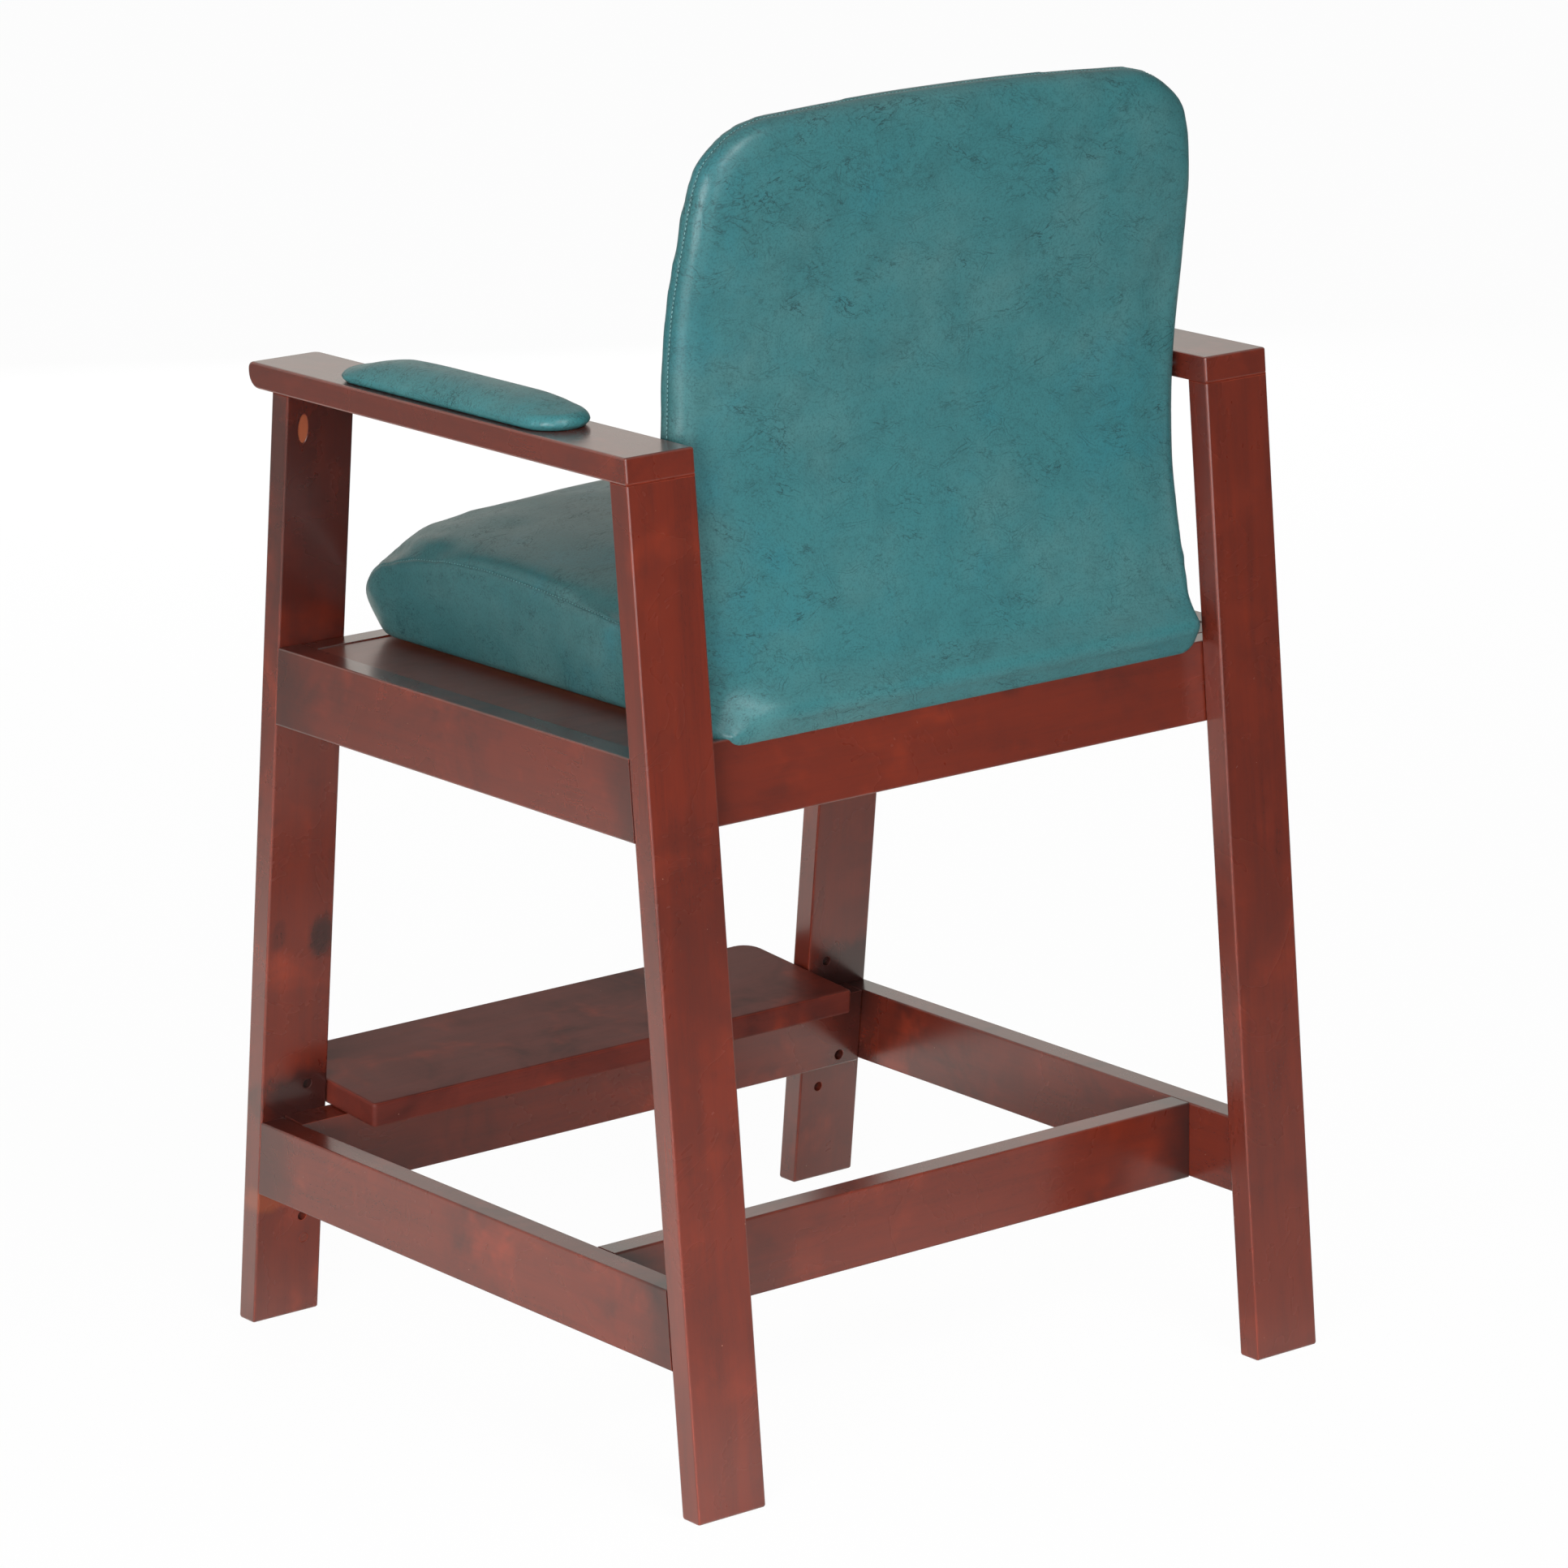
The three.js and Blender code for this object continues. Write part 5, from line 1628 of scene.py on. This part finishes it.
@dataclass
class LacquerLines:
    """The lacquer that bridges the joint between each leg's top and its armrest."""

    effects: Effects
    inset: float = 0.0005
    reach: float = 0.0014
    head: float = 0.003
    shine: float = 0.4
    seed: int = 21

    def make(self) -> None:
        """Builds one thin ring of lacquer per leg."""
        for seed, leg in enumerate(("rear_leg_left", "rear_leg_right", "front_leg_left",
                                    "front_leg_right"), self.seed):
            places = places_of(frame["nodes"][leg].data)
            top = places[:, 2].max()
            head = places[places[:, 2] > top - self.head]
            (x0, y0, _), (x1, y1, _) = head.min(axis=0) + self.inset, head.max(axis=0) - self.inset
            rings = [np.array([(x0, y0, z), (x1, y0, z), (x1, y1, z), (x0, y1, z)])
                     for z in (top - self.reach, top + self.reach)]
            piece = show(f"{leg}_lacquer_line", skin(f"{leg}_lacquer_line", rings))
            finish = StainedWood(Along.HEIGHT, seed, shine=self.shine)
            piece.data.materials.append(finish.material(piece.name, self.effects))
            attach(piece, "chair_frame")
            log.info("bridged the joint over %s", leg)


@dataclass
class Fastenings:
    """The bolts, washers, inserts, pins and screws."""

    effects: Effects
    steel: PlatedMetal = PlatedMetal()
    brass: PlatedMetal = PlatedMetal((186, 148, 84), 0.28)

    def dress(self) -> None:
        """Gives each node its metal."""
        steel = self.steel.material("zinc_plate", self.effects)
        brass = self.brass.material("turned_brass", self.effects)
        for node in frame["nodes"]:
            if "insert" in node:
                wear(node, brass)
            elif any(word in node for word in ("screw", "bolt", "washer", "pin")):
                wear(node, steel)


def wear(node: str, material: Material) -> None:
    """Puts a material on a node of the frame.

    Args:
        node: The node's name.
        material: Its finish.
    """
    thing = frame["nodes"][node]
    if not thing.material_slots:
        thing.data.materials.append(material)
    for slot in thing.material_slots:
        slot.material = material


@dataclass(frozen=True)
class Lamp:
    """One soft square lamp, which the camera doesn't see."""

    name: str
    place: Place
    size: float
    power: float
    aim: Place = (0.0, 0.0, 0.6)
    spread: float = 180.0  # in degrees
    in_gloss: bool = True  # whether it is mirrored in what shines

    def hang(self) -> None:
        """Puts the lamp in the scene."""
        data = bpy.data.lights.new(self.name, "AREA")
        data.shape, data.size, data.energy = "SQUARE", self.size, self.power
        data.spread = math.radians(self.spread)
        thing = show(self.name, data)
        thing.location = self.place
        thing.visible_camera, thing.visible_glossy = False, self.in_gloss
        aim = Vector(self.place) - Vector(self.aim)
        thing.rotation_euler = aim.to_track_quat("Z", "Y").to_euler()


@dataclass
class Studio:
    """Camera, lamps, pale floor and white surroundings, with a darker room in the gloss.

    The floor's ramps run over metres from its middle, and the world's over a direction's height
    or its part along the side.
    """

    place: Place = (3.18636, 4.11992, 1.84115)
    look: Place = (-0.595268, -0.761647, -0.256028)
    yaw: float = 141.990
    roll: float = -0.786
    focal: float = 153.05
    sensor: float = 36.0
    daylight: float = 0.3
    side: Place = (0.616, -0.788, 0.0)
    warm: Colour = (1.0, 0.96, 0.89, 1.0)
    sky_fade: Ramp = (0.0, 0.8, 1.0, 0.45)
    backdrop: Ramp = (-0.5, 0.5, 0.08, 0.78)
    ceiling: Ramp = (0.35, 0.8, 0.0, 0.6)
    reach: float = 40.0
    # these ramps paint the floor's glow in the gloss: brightest round the chair, fading far off and
    # toward the camera, with a painted shadow under the chair
    near_glow: Ramp = (0.2, 0.75, 2.1, 1.0)
    near_fade: Ramp = (0.9, 3.2, 0.44, 0.08)
    far_fade: Ramp = (-2.2, -1.5, 0.34, 1.0)
    turn_over: Ramp = (-0.45, 0.05, 0.0, 1.0)
    shadow_painted_under_chair: Ramp = (0.25, 0.5, 0.4, 1.0)
    felt: float = 0.9
    felt_in_gloss: float = 0.1
    felt_to_the_eye: float = 0.97
    glow_to_the_eye: float = 0.97
    glow_in_gloss: float = 0.9
    lamps: tuple[Lamp, ...] = (
        Lamp("window", (3.5, 2.0, 1.4), 2.0, 92.0), Lamp("key", (0.3, 3.4, 3.7), 1.8, 72.0),
        Lamp("camera_side", (0.4, 4.4, 1.2), 2.0, 35.0, (0.0, 0.0, 0.3)),
        Lamp("low", (1.9, 1.7, 0.3), 0.9, 4.4, (0.0, 0.0, -0.1), 50.0),
        Lamp("front", (-2.2, -3.4, 1.2), 2.0, 56.0, in_gloss=False))

    def camera(self) -> None:
        """Sets the camera where the photograph was taken from."""
        yaw, roll = math.radians(self.yaw), math.radians(self.roll)
        look = Vector(self.look).normalized()
        right = Vector((math.cos(yaw), math.sin(yaw), 0))
        up = right.cross(look)
        level = right * math.cos(roll) + up * math.sin(roll)
        above = -right * math.sin(roll) + up * math.cos(roll)
        turn = Matrix((level, above, -look)).transposed().to_4x4()
        data = bpy.data.cameras.new("camera")
        data.lens, data.sensor_width, data.clip_end = self.focal, self.sensor, 100.0
        camera = show("camera", data)
        camera.matrix_world = Matrix.Translation(self.place) @ turn
        bpy.context.scene.camera = camera

    def rays(self, bench: Bench) -> tuple[Socket, Socket, Socket]:
        """Tells the rays apart.

        Args:
            bench: Where they are asked for.

        Returns:
            Whether a ray is for the eye, whether it is mirrored, and the light's colour in it.
        """
        path = bench.put("ShaderNodeLightPath").outputs
        glossy = path["Is Glossy Ray"]
        shown = bench.most(path["Is Camera Ray"], path["Is Transmission Ray"])
        return shown, glossy, bench.blend(glossy, WHITE, self.warm)

    def surroundings(self) -> None:
        """Makes the world white to the eye, with a darker room behind the camera in the gloss."""
        world = bpy.data.worlds.new("studio")
        bench = fresh_bench(world)
        toward = bench.put("ShaderNodeTexCoord").outputs["Generated"]
        across = bench.vector("DOT_PRODUCT", toward, self.side)
        height = bench.axis(toward, "Z")
        above = bench.times(bench.ease(height, *self.sky_fade), self.daylight)
        gloss = bench.most(bench.ease(across, *self.backdrop), bench.ease(height, *self.ceiling))
        shown, glossy, light = self.rays(bench)
        level = bench.blend(glossy, above, gloss, Mix.NUMBERS)
        white = bench.blend(shown, level, 1.0, Mix.NUMBERS)
        sky = bench.put("ShaderNodeBackground", Strength=white, Color=light)
        bench.put("ShaderNodeOutputWorld", Surface=sky.outputs[0])
        bpy.context.scene.world = world

    def floor(self) -> None:
        """Lays a pale floor that keeps the chair's shadow, and in the gloss glows with painted
        light, darker behind the camera, with a painted shadow under the chair.
        """
        mesh = bpy.data.meshes.new("floor")
        far = self.reach
        mesh.from_pydata([(-far, -far, 0), (far, -far, 0), (far, far, 0), (-far, far, 0)], [],
                         [(0, 1, 2, 3)])
        material = bpy.data.materials.new("pale_floor")
        bench = fresh_bench(material)
        shown, glossy, light = self.rays(bench)
        place = bench.put("ShaderNodeTexCoord").outputs["Object"]
        across = bench.vector("DOT_PRODUCT", place, -Vector(self.side))
        # painted light: the floor glows in the gloss after these ramps, dimmed by the painted
        # shadow under the chair
        glow, fade, away, turn = (bench.ease(across, *ramp) for ramp in (
            self.near_glow, self.near_fade, self.far_fade, self.turn_over))
        sheen = bench.blend(turn, away, bench.times(glow, fade))
        under = bench.ease(bench.vector("LENGTH", place), *self.shadow_painted_under_chair)
        felt, in_gloss, to_eye = ((grey, grey, grey, 1.0) for grey in (
            self.felt, self.felt_in_gloss, self.felt_to_the_eye))
        matt = bench.put("ShaderNodeBsdfDiffuse", Color=bench.tint(
            felt, (glossy, in_gloss), (shown, to_eye)))
        white = bench.put("ShaderNodeEmission", Color=light, Strength=bench.most(
            shown, bench.times(sheen, under)))
        share = bench.most(bench.times(shown, self.glow_to_the_eye),
                           bench.times(glossy, self.glow_in_gloss))
        mix = bench.put("ShaderNodeMixShader", None, share, matt.outputs[0], white.outputs[0])
        bench.put("ShaderNodeOutputMaterial", Surface=mix.outputs[0])
        mesh.materials.append(material)
        show("floor", mesh)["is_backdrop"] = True

    def make(self) -> None:
        """Sets up the whole studio."""
        self.camera()
        self.surroundings()
        self.floor()
        for lamp in self.lamps:
            lamp.hang()
        bpy.context.scene.view_settings.view_transform = "Standard"


def main() -> list[list[float]]:
    """Builds every part of the scene.

    Returns:
        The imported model's box.
    """
    logging.basicConfig(level=logging.INFO, format="%(name)s: %(message)s")
    packed = [list(map(float, corner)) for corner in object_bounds()]
    Studio().make()
    effects = Effects()
    stitches = StitchRun()
    WoodenFrame(effects).dress()
    Fastenings(effects).dress()
    LacquerLines(effects).make()
    SeatPad(effects, stitches).make()
    BackPad(effects, stitches).make()
    ArmPads(effects).make()
    return packed


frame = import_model()

if __name__ == "__main__":
    packed_box = main()
